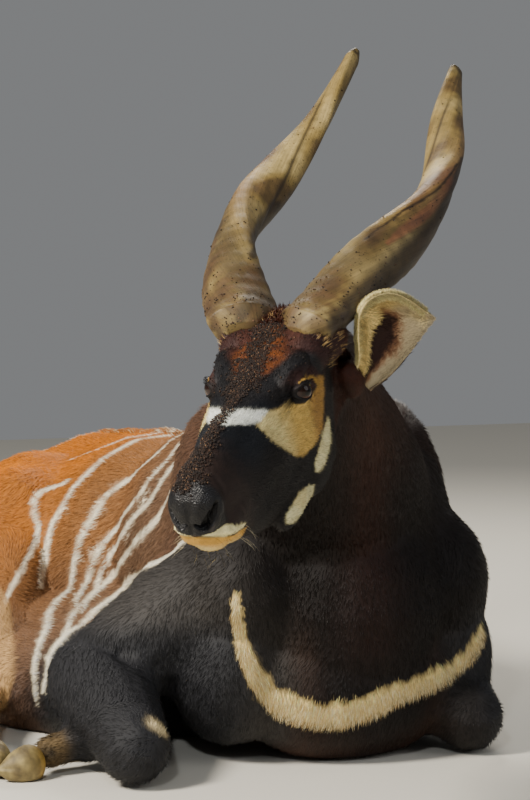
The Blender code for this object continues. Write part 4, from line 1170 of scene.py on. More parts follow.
def makeCoat(name, roots, normals, flat, ways, lengths, widths, lifts, bends, colours, bent=False, slot="dark_coat",
             tipTone=1.25, rootTone=0.72, tips=None, ownShade=0.36, light=None):
    # One or more pieces of coat, each kept below the most faces that tufts sets; neighbouring tufts go in the same
    # piece
    widths, lifts, bends = (np.broadcast_to(values, len(roots)) for values in (widths, lifts, bends))
    parts = max(1, math.ceil(len(roots) / (tufts["mostFaces"] // (10 if bent else 4))))
    order = np.argsort(roots[:, 1] + roots[:, 0] * 0.001)
    for index, rows in enumerate(np.array_split(order, parts)):
        shapes = (values[rows] for values in (roots, normals, ways, lengths, widths, lifts, bends))
        places, triangles, along, size = tuftArrays(*shapes, bent)
        mesh = meshFromArrays(f"{name}_{index + 1}", places, triangles)
        # Hair never goes through the floor
        gap = tufts["floorGap"]
        low = places[:, 2] < gap
        places[low, 2] = gap * np.exp((places[low, 2] - gap) / gap)
        moveVertices(mesh, places)
        paint = np.repeat(colours[rows], size, axis=0)
        if tips is not None:
            paint = mixed(paint, np.repeat(tips[rows], size, axis=0), along)
        # Each hair is painted darker at its root, painted shade where the coat covers it, and paler towards the tip,
        # the hair's own tone
        paint = paint * towards(rootTone, tipTone, along)[:, None]
        setColour(mesh, "coat", np.clip(paint, 0.001, 1))
        # The coat's own map: a patch 0.003 across at each root's place on the skin's unwrap
        spots = np.array(((-1, -1), (1, -1), (0, -1), (-1, 0), (1, 0), (0, 0), (0, 1)) if bent
                         else ((-1, -1), (1, -1), (0, -0.4), (0, 1))) * tufts["patch"]
        flatAll = (flat[rows][:, None] + spots[None]).reshape(-1, 2)
        corner = readRows(mesh.loops, "vertex_index", 1)[:, 0]
        mesh.uv_layers.new(name="OFBake").data.foreach_set("uv", flatAll[corner].astype(np.float32).ravel())
        # Hairs shade as the hide under them does, so the coat looks sleek and not like scales
        shading = np.repeat((normals if light is None else light)[rows], size, axis=0)
        shading = unit(shading * (1 - ownShade) + normalsOf(mesh) * ownShade)
        mesh.shade_smooth()
        mesh.normals_split_custom_set_from_vertices(shading)
        mesh.materials.append(coatLook)
        obj = linkMesh(f"{name}_{index + 1}", mesh)
        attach(obj, "root")


coatValues = {
    "headPerArea": 190000,
    "bodyPerArea": 52000,
    "quickShare": 0.35,
    "muzzleLength": 0.0035,
    "faceLength": 0.0080,
    "neckLength": 0.015,
    "bodyLength": 0.018,
    "legLength": 0.013,
    "bodyWidth": 0.0020,
    "faceWidth": 0.0012,
    "rootHeight": 0.003,
}


def makeShortCoat():
    surface = Surface(skin)
    share = headShare(surface.middle)
    perArea = towards(coatValues["bodyPerArea"], coatValues["headPerArea"], share)
    perArea = perArea * 1.0
    perArea = np.where(surface.middle[:, 2] < tufts["floorGap"], 0, perArea)
    # Denser on the stripes, for a clean edge
    perArea = perArea * (1 + 1.4 * (stripeShare(surface.middle - shiftArray, 2.4) * (share < 0.5)))
    roots, normals, flat = surface.draw(perArea, 61)
    dice = np.random.default_rng(62)
    # No hair on the nose pad, in the nostrils, on the lid rims or the lips' edge
    share = headShare(roots)
    low = folded(headPlaces(roots))
    eyeGap, noseGap, lipGap = featureGaps(low)
    bare = (low[:, 0] > 39.6) & (low[:, 2] > -8.2) | (noseGap < 1.0) | (eyeGap < 2.35) | (lipGap < 0.35)
    keep = ~(bare & (share > 0.5))
    roots, normals, flat, share, low = (part[keep] for part in (roots, normals, flat, share, low))
    count = len(roots)
    design = roots - shiftArray
    ways = flowOf(roots, normals)
    legGap = np.min([pathDistance(design, np.array(joints[1:]))[0] for joints in legs.values()], axis=0)
    onLeg = 1 - steps(0.07, 0.11, legGap)
    body = towards(coatValues["bodyLength"], coatValues["neckLength"], design[:, 1] < 0.1)
    body = towards(body, coatValues["legLength"], onLeg)
    face = towards(coatValues["faceLength"], coatValues["muzzleLength"], steps(24, 36, low[:, 0]))
    finer = 1 - 0.40 * stripeShare(design, 2.0) * (share < 0.5)
    lengths = towards(body * finer, face, share) * dice.uniform(0.75, 1.25, count)
    widths = towards(coatValues["bodyWidth"] * finer, coatValues["faceWidth"], share) * dice.uniform(0.8, 1.25, count)
    lifts = np.radians(11 + 5 * share + 5 * onLeg * (1 - share)) * dice.uniform(0.5, 1.6, count)
    vary = dice.uniform(0.62, 1.42, count)[:, None]
    # The way of each hair strays a little
    ways = unit(ways + np.cross(normals, ways) * dice.normal(0, 0.13, count)[:, None])
    roots[:, 2] = np.maximum(roots[:, 2], coatValues["rootHeight"])
    colours = coatColour(roots, normals) * vary
    tips = coatColour(roots + ways * lengths[:, None] * 0.8, normals) * vary
    onBody = share < 0.5
    for name, own, slot, ownShade, tipTone, rootTone in (("coat_body", onBody, "dark_coat", 0.58, 1.32, 0.62),
                                                         ("coat_face", ~onBody, "face_coat", 0.66, 1.36, 0.58)):
        shapes = (values[own] for values in (roots, normals, flat, ways, lengths, widths, lifts))
        makeCoat(name, *shapes, 0.02, colours[own], slot=slot, tips=tips[own], ownShade=ownShade, tipTone=tipTone,
                 rootTone=rootTone)
    return surface


surface = makeShortCoat()

# Horns

horns = {
    "left": {
        "path": ((3.6, 3.3, -0.3), (-8.9, 8.6, 2.6), (-22.6, 12.9, 3.2), (-36.7, 12.7, 4.0), (-50.3, 10.4, 6.3),
                 (-63.4, 8.4, 8.6)),
        "tip": (0.012, 0.55),  # how soon it tapers and what is left: this one is broken off blunt
        "darkFrom": 0.945,
    },
    "right": {
        "path": ((3.6, -4.7, 0.2), (-8.7, -11.1, 2.6), (-22.6, -14.1, 3.2), (-36.9, -13.1, 4.0), (-50.6, -10.3, 7.0),
                 (-63.4, -7.3, 12.6)),
        "tip": (0.035, 0.18),
        "darkFrom": 0.975,
    },
    "rings": 300,
    "sides": 96,
    "radius": 3.75,
    "flare": 0.24,
    "twist": 300,
    "keelStart": 60,
    "keels": (0.20, 0.10),
    "grooves": ((62, 9, 0.035), (250, 10, 0.030)),  # where round the horn in degrees, how wide, how deep
    "ripple": 0.012,
    "thinner": 0.66,
    "sunk": 0.035,
}
hornPaint = palette(bone="#86713f", pale="#b7a26c", brown="#4c3822", dark="#21160d", red="#6a3f2b", mud="#3a2d1b")
# Tint, strength, path and half width of marks as they lie on the photograph: creases, mud, and painted shade on the
# near horn's underside and on the far horn's dark edge facet, hollow facet and outer facet
hornMarks = {
    "left": (
        ("dark", 0.9, ((457, 164), (440, 187), (423, 199), (407, 208), (392, 219), (376, 230), (364, 239)),
         (1.2, 1.5, 1.7, 1.5, 1.3, 1.0, 0.8)),
        ("red", 0.65, ((452, 180), (436, 203), (420, 218), (402, 232), (388, 243)), (4, 6, 7, 6, 3)),
        # painted shadow along the underside of this near horn
        ("dark", 0.88, ((463, 160), (452, 195), (436, 226), (414, 252), (390, 274), (364, 296), (342, 322)),
         (4, 7, 10, 13, 15, 17, 17)),
    ),
    "right": (
        # painted shade on this far horn: its dark edge facet, a hollow facet and a brown outer facet
        ("dark", 0.85, ((344, 100), (330, 132), (318, 155), (306, 175), (292, 197), (278, 216), (264, 238), (253, 255)),
         (1.5, 1.6, 2.0, 2.2, 2.6, 4, 6, 5)),
        ("dark", 0.7, ((276, 205), (264, 222), (254, 240)), (6, 8, 6)),
        ("brown", 0.8, ((216, 240), (206, 262), (203, 288), (210, 314), (220, 334)), (2, 5, 7, 6, 4)),
        ("mud", 0.8, ((240, 318), (252, 298), (268, 302)), (7, 9, 6)),
    ),
}


def hornShare(row):
    # The first rows lie inside the skull, so that the horn grows out of the hide
    return -horns["sunk"] + (1 + horns["sunk"]) * row / horns["rings"]


def hornPoint(points, part):
    ends = [points[0] * 2 - points[1], *points, points[-1] * 2 - points[-2]]
    at = min(part, 0.99999) * (len(points) - 1)
    first = int(at)
    return between(*ends[first:first + 4], at - first)


def hornMaterial():
    # Horn is keratin in long fibres, worn satin by rubbing on mud and bark: pale where polished, brown in the grooves
    look, tree, shader = newMaterial("worn_horn_keratin", 0.52, Specular_IOR_Level=0.36)
    place = addNode(tree, "ShaderNodeTexCoord")
    paint = addNode(tree, "ShaderNodeAttribute", attribute_name="coat")
    # Long fibres: noise drawn out along the horn by the piece's own map, 2 mm across
    fibre = addNode(tree, "ShaderNodeMapping", {"Vector": place.outputs["UV"], "Scale": (90.0, 7.0, 1.0)})
    streak = addNode(tree, "ShaderNodeTexNoise", {"Vector": fibre.outputs["Vector"], "Scale": 1.0, "Detail": 5.0,
                                                  "Roughness": 0.6})
    spots = addNode(tree, "ShaderNodeTexNoise", {"Vector": place.outputs["Object"], "Scale": 55.0, "Detail": 6.0})
    chips = addNode(tree, "ShaderNodeTexNoise", {"Vector": place.outputs["Object"], "Scale": 260.0, "Detail": 3.0})
    tint = paint.outputs["Color"]
    for noise, spread, tones in ((streak, (0.25, 0.75), (0.70, 1.22)), (spots, (0.3, 0.7), (0.80, 1.15)),
                                 (chips, (0.62, 0.70), (1.0, 0.35))):
        tint = mottled(tree, tint, noise, spread, tones)
    bump = addNode(tree, "ShaderNodeBump", {"Height": streak.outputs["Fac"], "Distance": 0.0012, "Strength": 0.5})
    relief = addNode(tree, "ShaderNodeBump", {"Height": chips.outputs["Fac"], "Distance": 0.0008, "Strength": 0.5,
                                              "Normal": bump.outputs["Normal"]})
    tree.links.new(tint, shader.inputs["Base Color"])
    tree.links.new(relief.outputs["Normal"], shader.inputs["Normal"])
    return look


hornLook = hornMaterial()


def makeHorn(side):
    data = horns[side]
    sign = 1 if side == "left" else -1
    points = [Vector(point) for point in data["path"]]
    rings = horns["rings"]
    sides = horns["sides"]
    steady = Vector((0, 0, 1))
    places = []
    facts = []
    for row in range(rings + 1):
        part = hornShare(row)
        place = hornPoint(points, part)
        way = (hornPoint(points, min(part + 0.01, 1)) - hornPoint(points, part - 0.01)).normalized()
        steady = (steady - way * steady.dot(way)).normalized()
        across = way.cross(steady) * sign
        shrink = 1 - horns["thinner"] * max(part, 0) ** 1.7 + horns["flare"] * math.exp(-max(part, 0) / 0.07)
        shrink *= 1 + 12 * min(part, 0)
        taper, least = data["tip"]
        shrink *= min(1, (max(0, 1 - part) / taper + least)) ** 0.5
        spin = math.radians(horns["keelStart"] + horns["twist"] * part)
        for step in range(sides):
            angle = 2 * math.pi * step / sides
            keel = sum(high * max(0, way * math.cos(angle)) ** 5 for high, way in zip(horns["keels"], (1, -1)))
            ripple = horns["ripple"] * math.sin(row * 0.51 + 1.3 * math.sin(angle * 2)) * max(0, 1 - part * 1.4)
            groove = sum(deep * math.exp(-((math.degrees(angle) - at) / wide) ** 2)
                         for at, wide, deep in horns["grooves"])
            size = 1 + ripple - groove + 0.010 * math.sin(angle * 9 + part * 5)
            x = horns["radius"] * shrink * (1.08 + keel) * math.cos(angle) * size
            y = horns["radius"] * shrink * 0.86 * math.sin(angle) * size
            spot = place + steady * (x * math.cos(spin) - y * math.sin(spin)) \
                + across * (x * math.sin(spin) + y * math.cos(spin))
            places.append(toWorld @ spot)
            facts.append((part, angle))
    bm = bmesh.new()
    verts = [bm.verts.new(place) for place in places]
    flat = bm.loops.layers.uv.new("horn")
    for row in range(rings):
        for step in range(sides):
            after = (step + 1) % sides
            face = bm.faces.new((verts[row * sides + step], verts[row * sides + after],
                                 verts[(row + 1) * sides + after], verts[(row + 1) * sides + step]))
            for loop, right, up in zip(face.loops, (0, 1, 1, 0), (0, 0, 1, 1)):
                loop[flat].uv = ((step + right) / sides, (row + up) / rings)
    bm.faces.new(verts[:sides])
    bm.faces.new(verts[-sides:])
    bmesh.ops.recalc_face_normals(bm, faces=bm.faces)
    mesh = meshOf("horn_" + side, bm)
    mesh.shade_smooth()
    part, angle = np.array(facts).T
    degrees = np.degrees(angle)
    spots = np.array([tuple(place) for place in places])
    patch = wobble(spots, 0.10, 71)
    fine = wobble(spots, 0.02, 72)
    norms = normalsOf(mesh) @ (np.array(toWorld.to_3x3()) / headUnit)
    dirty = (1 - steps(0.04, 0.26, part + 0.06 * patch)) * (0.55 + 0.35 * fine)
    # Brown and dark in the hollow side between the keels, in a crease and at the tip, and painted shade on the faces
    # that turn down
    hollow = np.exp(-(((degrees - 250) / 55) ** 2)) * steps(0.0, 0.15, part + 0.1) * (1 - 0.4 * steps(0.5, 0.9, part))
    crease = np.exp(-((degrees - 62) / 7) ** 2) * steps(0.25, 0.4, part) * (1 - steps(0.8, 0.9, part))
    under = steps(0.05, 0.75, norms @ np.array((-0.1, 0.5, -0.85)))
    paint = layered(
        hornPaint["bone"], hornPaint,
        ("pale", 0.6 * steps(-0.2, 0.9, patch)),
        ("brown", 0.75 * steps(0.2, 1.1, -patch)),
        ("dark", 0.75 * hollow),
        ("red", 0.45 * np.exp(-((degrees - 180) / 40) ** 2) * steps(0.2, 0.5, part)),
        ("dark", 0.8 * crease),
        ("brown", np.clip(dirty, 0, 0.8)),
        ("dark", 0.85 * steps(data["darkFrom"], 0.99, part + 0.01 * fine)),
        ("dark", 0.62 * under),
    )
    # The marks on the side that the photograph shows
    onPhoto = viewPlace(spots - shiftArray) + np.stack((fine, patch), 1) * 0.5
    seen = steps(-0.15, 0.10, norms @ np.array((0.80, 0.36, 0.49)))
    for tint, share, line, wide in hornMarks[side]:
        gap, reach = bandOf(onPhoto, line, wide)
        paint = mixed(paint, hornPaint[tint], share * seen * (1 - steps(0.45, 1.25, gap / reach)))
    setColour(mesh, "coat", np.clip(paint * (1 + 0.10 * fine)[:, None], 0.002, 1))
    mesh.materials.append(hornLook)
    obj = linkMesh("horn_sheath_" + side, mesh)
    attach(obj, "root")
    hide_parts("horn_" + side)
    return obj


hornPieces = [makeHorn(side) for side in ("left", "right")]
print("stage 7: horns")

# Ears

ears = {
    "left": {"root": (0.5, 9.5, -10.2), "way": (-0.589, 0.649, 0.481), "front": (0.504, -0.395, 1.093),
             "open": (0.935, 0.885, -0.12)},
    "right": {"root": (0.5, -8.8, -9.4), "way": (-0.88, -0.27, 0.38), "front": (0.10, 0.35, 0.90),
              "open": (0.10, -0.90, 0.30)},
    "length": 13.1,
    # place along the ear, reach to its front edge, reach to its rear edge
    "leaf": ((0.0, 1.9, 1.8), (0.14, 3.5, 2.2), (0.30, 6.7, 2.4), (0.46, 9.2, 2.2), (0.64, 9.8, 1.8),
             (0.82, 8.4, 1.1), (0.93, 5.5, 0.7), (1.0, 0.8, 0.4)),
    "hollow": ((0.6, -0.4), (2.3, -0.1), (4.1, 0.2), (5.6, 1.2), (6.8, 2.4), (7.4, 3.1)),
    "rows": 44,
    "columns": 36,
    "thick": 0.0034,
    "quickShare": 0.4,
}
# cavity is painted shade deep in the ear's hollow
earPaint = palette(cavity="#230d07", warm="#8a441a", cream="#dcc07a", pale="#b3a280", back="#3c2a1c", edge="#efd898")


def earPlaces(side):
    data = ears[side]
    way = Vector(data["way"]).normalized()
    front = Vector(data["front"])
    front = (front - way * front.dot(way)).normalized()
    out = way.cross(front)
    if out.dot(Vector(data["open"])) < 0:
        out = -out
    leaf = smoothPath(ears["leaf"], 6)
    places = []
    facts = []
    for row in range(ears["rows"] + 1):
        share = row / ears["rows"]
        part, ahead, behind = (float(valueAt(share, leaf[:, index])) for index in range(3))
        curl = math.radians(125 - 70 * max(part, 0) ** 0.7)
        middle = (ahead - behind) / 2
        half = (ahead + behind) / 2
        for column in range(ears["columns"] + 1):
            angle = curl * (2 * column / ears["columns"] - 1)
            aside = middle + half * math.sin(angle) / max(math.sin(curl), 0.8)
            deep = half * (math.cos(angle) - math.cos(curl)) * 0.6
            spot = Vector(data["root"]) + way * ears["length"] * part + front * aside - out * deep
            places.append(toWorld @ spot)
            facts.append((part, aside, angle / curl))
    return places, facts, way, front, out


def earInside(part, aside, curl, fine):
    # The tints of the ear's inner side: a hollow painted dark as shade, with a warm rim, beige towards the tip, cream
    # edges
    lengthwise = part * ears["length"]
    gap = pathGap(np.stack((lengthwise, aside), 1), ears["hollow"])
    gap = gap / (1.05 + 0.40 * steps(1.5, 4.2, lengthwise) + 0.75 * steps(4.5, 6.8, lengthwise))
    above = steps(2.5, 5.0, aside - 0.2 * lengthwise)
    out = layered(
        earPaint["pale"], earPaint,
        (earPaint["cream"] * 0.75, steps(3.5, 6.5, aside + 0.3 * fine)),
        ("warm", (0.75 + 0.2 * above) * (1 - steps(0.9, 1.45 + 0.5 * above, gap + 0.12 * fine))),
        ("cavity", 1 - steps(0.7, 1.25, gap + 0.12 * fine)),
        ("back", 0.7 * steps(0.93, 0.99, -curl)),
        ("edge", steps(0.88, 0.98, curl)),
    )
    return np.clip(out, 0.002, 1)


def makeEar(side):
    places, facts, way, front, out = earPlaces(side)
    columns = ears["columns"] + 1
    bm = bmesh.new()
    verts = [bm.verts.new(place) for place in places]
    for row in range(ears["rows"]):
        for column in range(columns - 1):
            first = row * columns + column
            bm.faces.new((verts[first], verts[first + 1], verts[first + columns + 1], verts[first + columns]))
    bm.normal_update()
    outward = toWorld.to_3x3() @ out
    if sum((face.normal for face in bm.faces), Vector()).dot(outward) < 0:
        bmesh.ops.reverse_faces(bm, faces=bm.faces)
    mesh = meshOf("ear_shell_" + side, bm)
    part, aside, curl = np.array(facts).T
    spots = np.array([tuple(place) for place in places])
    setColour(mesh, "coat", earInside(part, aside, curl, wobble(spots, 0.012, 81)))
    setValue(mesh, "edge", np.maximum(curl, part))
    obj = linkMesh("ear_shell_" + side, mesh)
    shell = obj.modifiers.new("thickness", "SOLIDIFY")
    shell.thickness = ears["thick"]
    shell.offset = 0
    shell.use_rim = True
    applyAll(obj)
    obj.data.shade_smooth()
    # The outer side of the ear is short brown fur
    facing = normalsOf(obj.data) @ np.array(outward.normalized())
    paint = readRows(obj.data.attributes["coat"].data, "color", 4, np.float32)[:, :3].astype(float)
    edge = readRows(obj.data.attributes["edge"].data, "value", 1, np.float32)[:, 0]
    setColour(obj.data, "coat", layered(paint, earPaint, ("back", steps(0.15, 0.5, -facing)),
                                        ("edge", steps(0.82, 0.93, edge))))
    obj.data.materials.append(skinLook)
    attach(obj, "root")
    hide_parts("ear_" + side)
    return spots, part, aside, curl, np.array(outward.normalized()), (way, front)


def furEar(side, spots, part, aside, curl, outward, axes):
    # Long cream hair from the front edge over the hollow, fluff round the rim, short fur behind
    dice = np.random.default_rng(91 if side == "left" else 92)
    turn = toWorld.to_3x3()
    way, front = (np.array((turn @ axis).normalized()) for axis in axes)
    columns = ears["columns"] + 1
    grid = spots.reshape(-1, columns, 3)
    facts = [values.reshape(-1, columns, 1) for values in (aside, part, curl)]
    normals = np.cross(np.gradient(grid, axis=0), np.gradient(grid, axis=1))
    normals /= np.maximum(np.linalg.norm(normals, axis=2), 1e-9)[:, :, None]
    if (normals.reshape(-1, 3) @ outward).mean() < 0:
        normals = -normals

    def sample(count, low, high, start, end):
        rows = dice.uniform(start, end, count) * (grid.shape[0] - 1)
        cells = (dice.uniform(low, high, count) + 1) / 2 * (columns - 1)
        row = np.clip(rows.astype(int), 0, grid.shape[0] - 2)
        cell = np.clip(cells.astype(int), 0, columns - 2)
        down = (rows - row)[:, None]
        over = (cells - cell)[:, None]

        def blend(values):
            return ((values[row, cell] * (1 - over) + values[row, cell + 1] * over) * (1 - down)
                    + (values[row + 1, cell] * (1 - over) + values[row + 1, cell + 1] * over) * down)

        return blend(grid), unit(blend(normals)), *(blend(values)[:, 0] for values in facts)

    # count, range across, range along, lie, length, lift, width, tint, inner side
    sets = (
        (5200, 0.36, 1.0, 0.03, 0.52, way * 0.42 - front * 0.88, 0.024, 40, 0.0012, "cream", 1),
        (5200, 0.84, 1.0, 0.10, 0.99, front * 0.55 + way * 0.6, 0.011, 46, 0.0010, "edge", 1),
        (3600, 0.93, 1.0, 0.10, 0.99, front * 0.6 + way * 0.5, 0.011, 76, 0.0010, "edge", -1),
        (1500, -1.0, -0.90, 0.10, 0.99, way * 0.8 - front * 0.4, 0.006, 14, 0.0012, "pale", 1),
        (2600, -0.92, -0.25, 0.12, 0.96, way * 0.9 - front * 0.35, 0.009, 9, 0.0012, "pale", 1),
        (3600, -0.20, 0.92, 0.48, 0.98, way * 0.6 - front * 0.7, 0.010, 14, 0.0012, "warm", 1),
        (9000, -1.0, 1.0, 0.02, 0.98, way, 0.009, 9, 0.0016, "back", -1),
    )
    for index, (count, low, high, start, end, lie, length, lift, width, tint, face) in enumerate(sets):
        count = int(count * (1))
        roots, norm, asideAt, partAt, curlAt = sample(count, low, high, start, end)
        norm = norm * face
        roots = roots + norm * ears["thick"] * 0.45
        ways = laidFlat(lie + dice.normal(0, 0.16, (count, 3)), norm)
        lengths = length * dice.uniform(0.55, 1.35, count)
        if index == 0:
            lengths *= 0.55 + 0.6 * np.sin(np.pi * np.clip(partAt, 0, 1))
        colours = np.tile(earPaint[tint], (count, 1))
        if index in (4, 5):
            colours = earInside(partAt, asideAt, curlAt, np.zeros(count))
        if face < 0:
            close = np.maximum(curlAt, partAt) + 0.03 * dice.normal(0, 1, count)
            colours = mixed(colours, earPaint["edge"], steps(0.68, 0.84, close))
            lengths = lengths * (1 - 0.45 * steps(0.7, 0.9, close))
        colours = colours * dice.uniform(0.48, 1.36, count)[:, None]
        # The ear's hair takes a corner of the map that the skin's unwrap leaves free
        flat = np.stack((0.985 + 0.01 * partAt, 0.985 + 0.01 * (curlAt + 1) / 2), 1)
        makeCoat(f"ear_hair_{side}_{index + 1}", roots, norm, flat, ways, lengths, width,
                 np.radians(lift) * dice.uniform(0.6, 1.5, count), 0.16 if index == 0 else 0.05, colours,
                 bent=index == 0, slot="ear_coat", ownShade=0.30 if index < 2 else 0.55, tipTone=1.22, rootTone=0.86,
                 light=norm * 0.3 + outward if face > 0 and index != 4 else None)


for side in ("left", "right"):
    furEar(side, *makeEar(side))
print("stage 8: ears")

# Eyes

eyes = {"bulge": 0.055, "bulgeWidth": 0.50, "inset": 0.985, "irisEdge": (0.60, 0.66), "pupil": (0.40, 0.22),
        "rays": 46}
eyePaint = palette(white="#241410", iris="#3b1d0c", inner="#1d0f08", pupil="#030303")
# A wet glass eye: the water IOR of a cornea and a thin polished coat give its sharp small glint
eyeLook, tree, shader = newMaterial("wet_glass_eye", 0.06, IOR=1.30, Coat_Weight=0.15, Coat_Roughness=0.03)
eyeTint = addNode(tree, "ShaderNodeAttribute", attribute_name="coat")
tree.links.new(eyeTint.outputs["Color"], shader.inputs["Base Color"])


def makeEye(side):
    sign = 1 if side == "left" else -1
    center = eyeSeat(sign)
    bpy.ops.mesh.primitive_uv_sphere_add(segments=96, ring_count=64, radius=1)
    obj = bpy.context.object
    obj.name = "eyeball_" + side
    look, level = eyeWays(sign)
    look = Vector(look).normalized()
    turnTo = look.to_track_quat("Z", "Y").to_matrix().to_4x4()
    places = verticesOf(obj.data)
    # The cornea stands out over the iris
    angle = np.arccos(np.clip(places[:, 2], -1, 1))
    places *= (1 + eyes["bulge"] * np.exp(-(angle / eyes["bulgeWidth"]) ** 2))[:, None]
    moveVertices(obj.data, places)
    size = Matrix.Scale(headLie["eyeRadius"] * eyes["inset"], 4)
    obj.data.transform(toWorld @ Matrix.Translation(center) @ turnTo @ size)
    spots = unit(headPlaces(verticesOf(obj.data)) - np.array(center))
    lookArray = np.array(look)
    a = spots @ np.array(level)
    b = spots @ np.cross(lookArray, level)
    facing = spots @ lookArray
    ring = np.sqrt(a ** 2 + b ** 2)
    rays = 0.5 + 0.5 * np.sin(np.arctan2(b, a) * eyes["rays"])
    iris = mixed(eyePaint["iris"], eyePaint["inner"], 0.5 * rays)
    # Painted light: the iris is painted dark above and bright in its lower half, as lit from above
    iris *= (0.30 + 1.5 * steps(-0.05, 0.42, -spots[:, 2]))[:, None]
    pupil = np.sqrt((a / eyes["pupil"][0]) ** 2 + (b / eyes["pupil"][1]) ** 2)
    setColour(obj.data, "coat", layered(eyePaint["white"], eyePaint,
                                        (iris, (1 - steps(*eyes["irisEdge"], ring)) * (facing > 0)),
                                        ("pupil", (1 - steps(0.9, 1.1, pupil)) * (facing > 0))))
    obj.data.shade_smooth()
    obj.data.materials.clear()
    obj.data.materials.append(eyeLook)
    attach(obj, "root")
    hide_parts("eye_" + side)
    return obj


for side in ("left", "right"):
    makeEye(side)
print("stage 9: eyes")

# Hooves

hooves = {
    "size": (0.080, 0.040, 0.060),
    "narrows": ((-1, -0.5, 0, 0.5, 0.8, 1), (1.0, 1.02, 1.05, 0.86, 0.60, 0.35)),
    "lowers": ((-1, -0.8, -0.3, 0, 0.5, 0.8, 1), (1.05, 1.05, 0.96, 0.84, 0.66, 0.46, 0.30)),
    "floorGap": 0.0006,
    "raised": {("fore_right", "outer"): (0.016, -0.014, 0.016)},
    "legs": {"fore_left": ("foreLeft", 0.0), "fore_right": ("foreRight", 0.036), "hind_left": ("hindLeft", 0.0),
             "hind_right": ("hindRight", 0.0)},
}
hoofPaint = palette(wall="#7d6c40", pale="#a8955c", dark="#3a2e1c", sole="#b8923c")
# Hoof wall is dull dried keratin, mottled olive and tan and a little pitted
hoofLook = paintedMaterial("dry_hoof_keratin", 0.62, 70.0, 6.0, (0.3, 0.7), (0.6, 1.3), bump=0.0015, IOR=1.54)


def makeClaw(key, place, sign):
    legName, splay = hooves["legs"][key]
    fetlock, toe = (Vector(joint) for joint in legs[legName][3:])
    long, wide, high = hooves["size"]
    way = toe - fetlock
    heading = math.atan2(way.y, way.x)
    bpy.ops.mesh.primitive_uv_sphere_add(segments=40, ring_count=28, radius=1)
    obj = bpy.context.object
    obj.name = f"claw_{key}_{place}"
    for vert in obj.data.vertices:
        along = vert.co.x
        inward = max(vert.co.y, -0.35 + (vert.co.y + 0.35) * 0.12)
        vert.co.y = inward * np.interp(along, *hooves["narrows"])
        ridge = 1 + 0.014 * math.sin(along * 30) * (vert.co.z > 0)
        vert.co.z = max(vert.co.z * np.interp(along, *hooves["lowers"]), -0.56) * ridge
        vert.co.x = along * (1 + 0.16 * (along > 0) * (vert.co.z < 0))
    obj.data.transform(Matrix.Diagonal((long / 2, sign * wide * 0.62, high * 0.62, 1)))
    if sign < 0:
        obj.data.flip_normals()
    center = fetlock.lerp(toe, 0.66)
    aside = Vector((-math.sin(heading), math.cos(heading), 0)) * sign * wide * 0.36
    aside += Vector((math.cos(heading), math.sin(heading), 0)) * sign * splay
    low = Vector((center.x, center.y, high * 0.38)) + Vector(hooves["raised"].get((key, place), (0, 0, 0)))
    own = verticesOf(obj.data).copy()
    obj.data.transform(Matrix.Translation(low + aside + shift) @ Matrix.Rotation(heading - sign * 0.06, 4, "Z"))
    places = verticesOf(obj.data)
    # Painted shade: darker on the inner side at the cleft between the claws, and low down by the floor
    cleft = 1 - steps(-0.36, -0.20, own[:, 1] * sign / (wide * 0.62))
    under = 1 - steps(0.004, 0.012, places[:, 2])
    places[:, 2] = np.maximum(places[:, 2], hooves["floorGap"])
    moveVertices(obj.data, places)
    blot = wobble(places, 0.03, 95)
    heel = steps(0.3, 0.9, -own[:, 0] / (long / 2))
    paint = layered(
        hoofPaint["wall"], hoofPaint,
        ("pale", 0.6 * steps(-0.2, 0.9, blot)),
        ("dark", 0.5 * steps(0.4, 1.2, -blot)),
        ("sole", 0.8 * heel),
        ("dark", 0.22 * (0.5 + 0.5 * np.sin(own[:, 0] / long * 60 + 2 * blot))),
        ("dark", 0.8 * cleft),
        ("dark", 0.4 * under),
    )
    setColour(obj.data, "coat", np.clip(paint, 0.002, 1))
    obj.data.shade_smooth()
    obj.data.materials.clear()
    obj.data.materials.append(hoofLook)
    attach(obj, "root")
    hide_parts(f"hoof_{key}_{place}")
    return obj


for key in hooves["legs"]:
    for place, sign in (("inner", 1), ("outer", -1)):
        makeClaw(key, place, sign)
print("stage 10: hooves")

# Long hair: tail tuft, mane, chest band, lashes, whiskers, forelock and the collar of each horn

longHair = {
    "tail": {"count": 900, "end": (0.20, 1.42, 0.026), "way": (0.085, -0.045, 0), "length": (0.055, 0.085),
             "width": 0.0042, "tint": "#120a07"},
    "crest": {"count": 5200, "width": 0.0020, "lengths": ((0, 0.2, 0.5, 1), (0.020, 0.030, 0.030, 0.016)),
              "lift": 26, "tint": "#b79a72",
              "path": ((-0.20, -0.20, 0.76), (-0.12, -0.06, 0.68), (-0.03, 0.12, 0.62), (0, 0.30, 0.60),
                       (0, 0.60, 0.53), (0, 0.90, 0.50), (0, 1.10, 0.49))},
    "crescent": {"perArea": 260000, "length": 0.015, "width": 0.0012, "lift": 12, "tints": ("#c7a05c", "#eee3bc")},
    "face": {"lashes": 90, "lashLength": (0.005, 0.008), "farLashes": 0.6, "lashWidth": 0.0005, "whiskers": 20,
             "chin": 16, "whiskerWidth": 0.00055, "forelock": 1500, "forelockWidth": 0.0014},
    "collar": {"count": 3000, "length": (0.007, 0.017), "width": 0.0013, "reach": 0.026, "tint": "#a88a58"},
}


def freeFlat(count, dice, low=0.975, high=0.985):
    # Places for hair with no root on the unwrap, in a corner that the skin leaves free
    return np.stack((dice.uniform(low, high, count), dice.uniform(low, high, count)), 1)


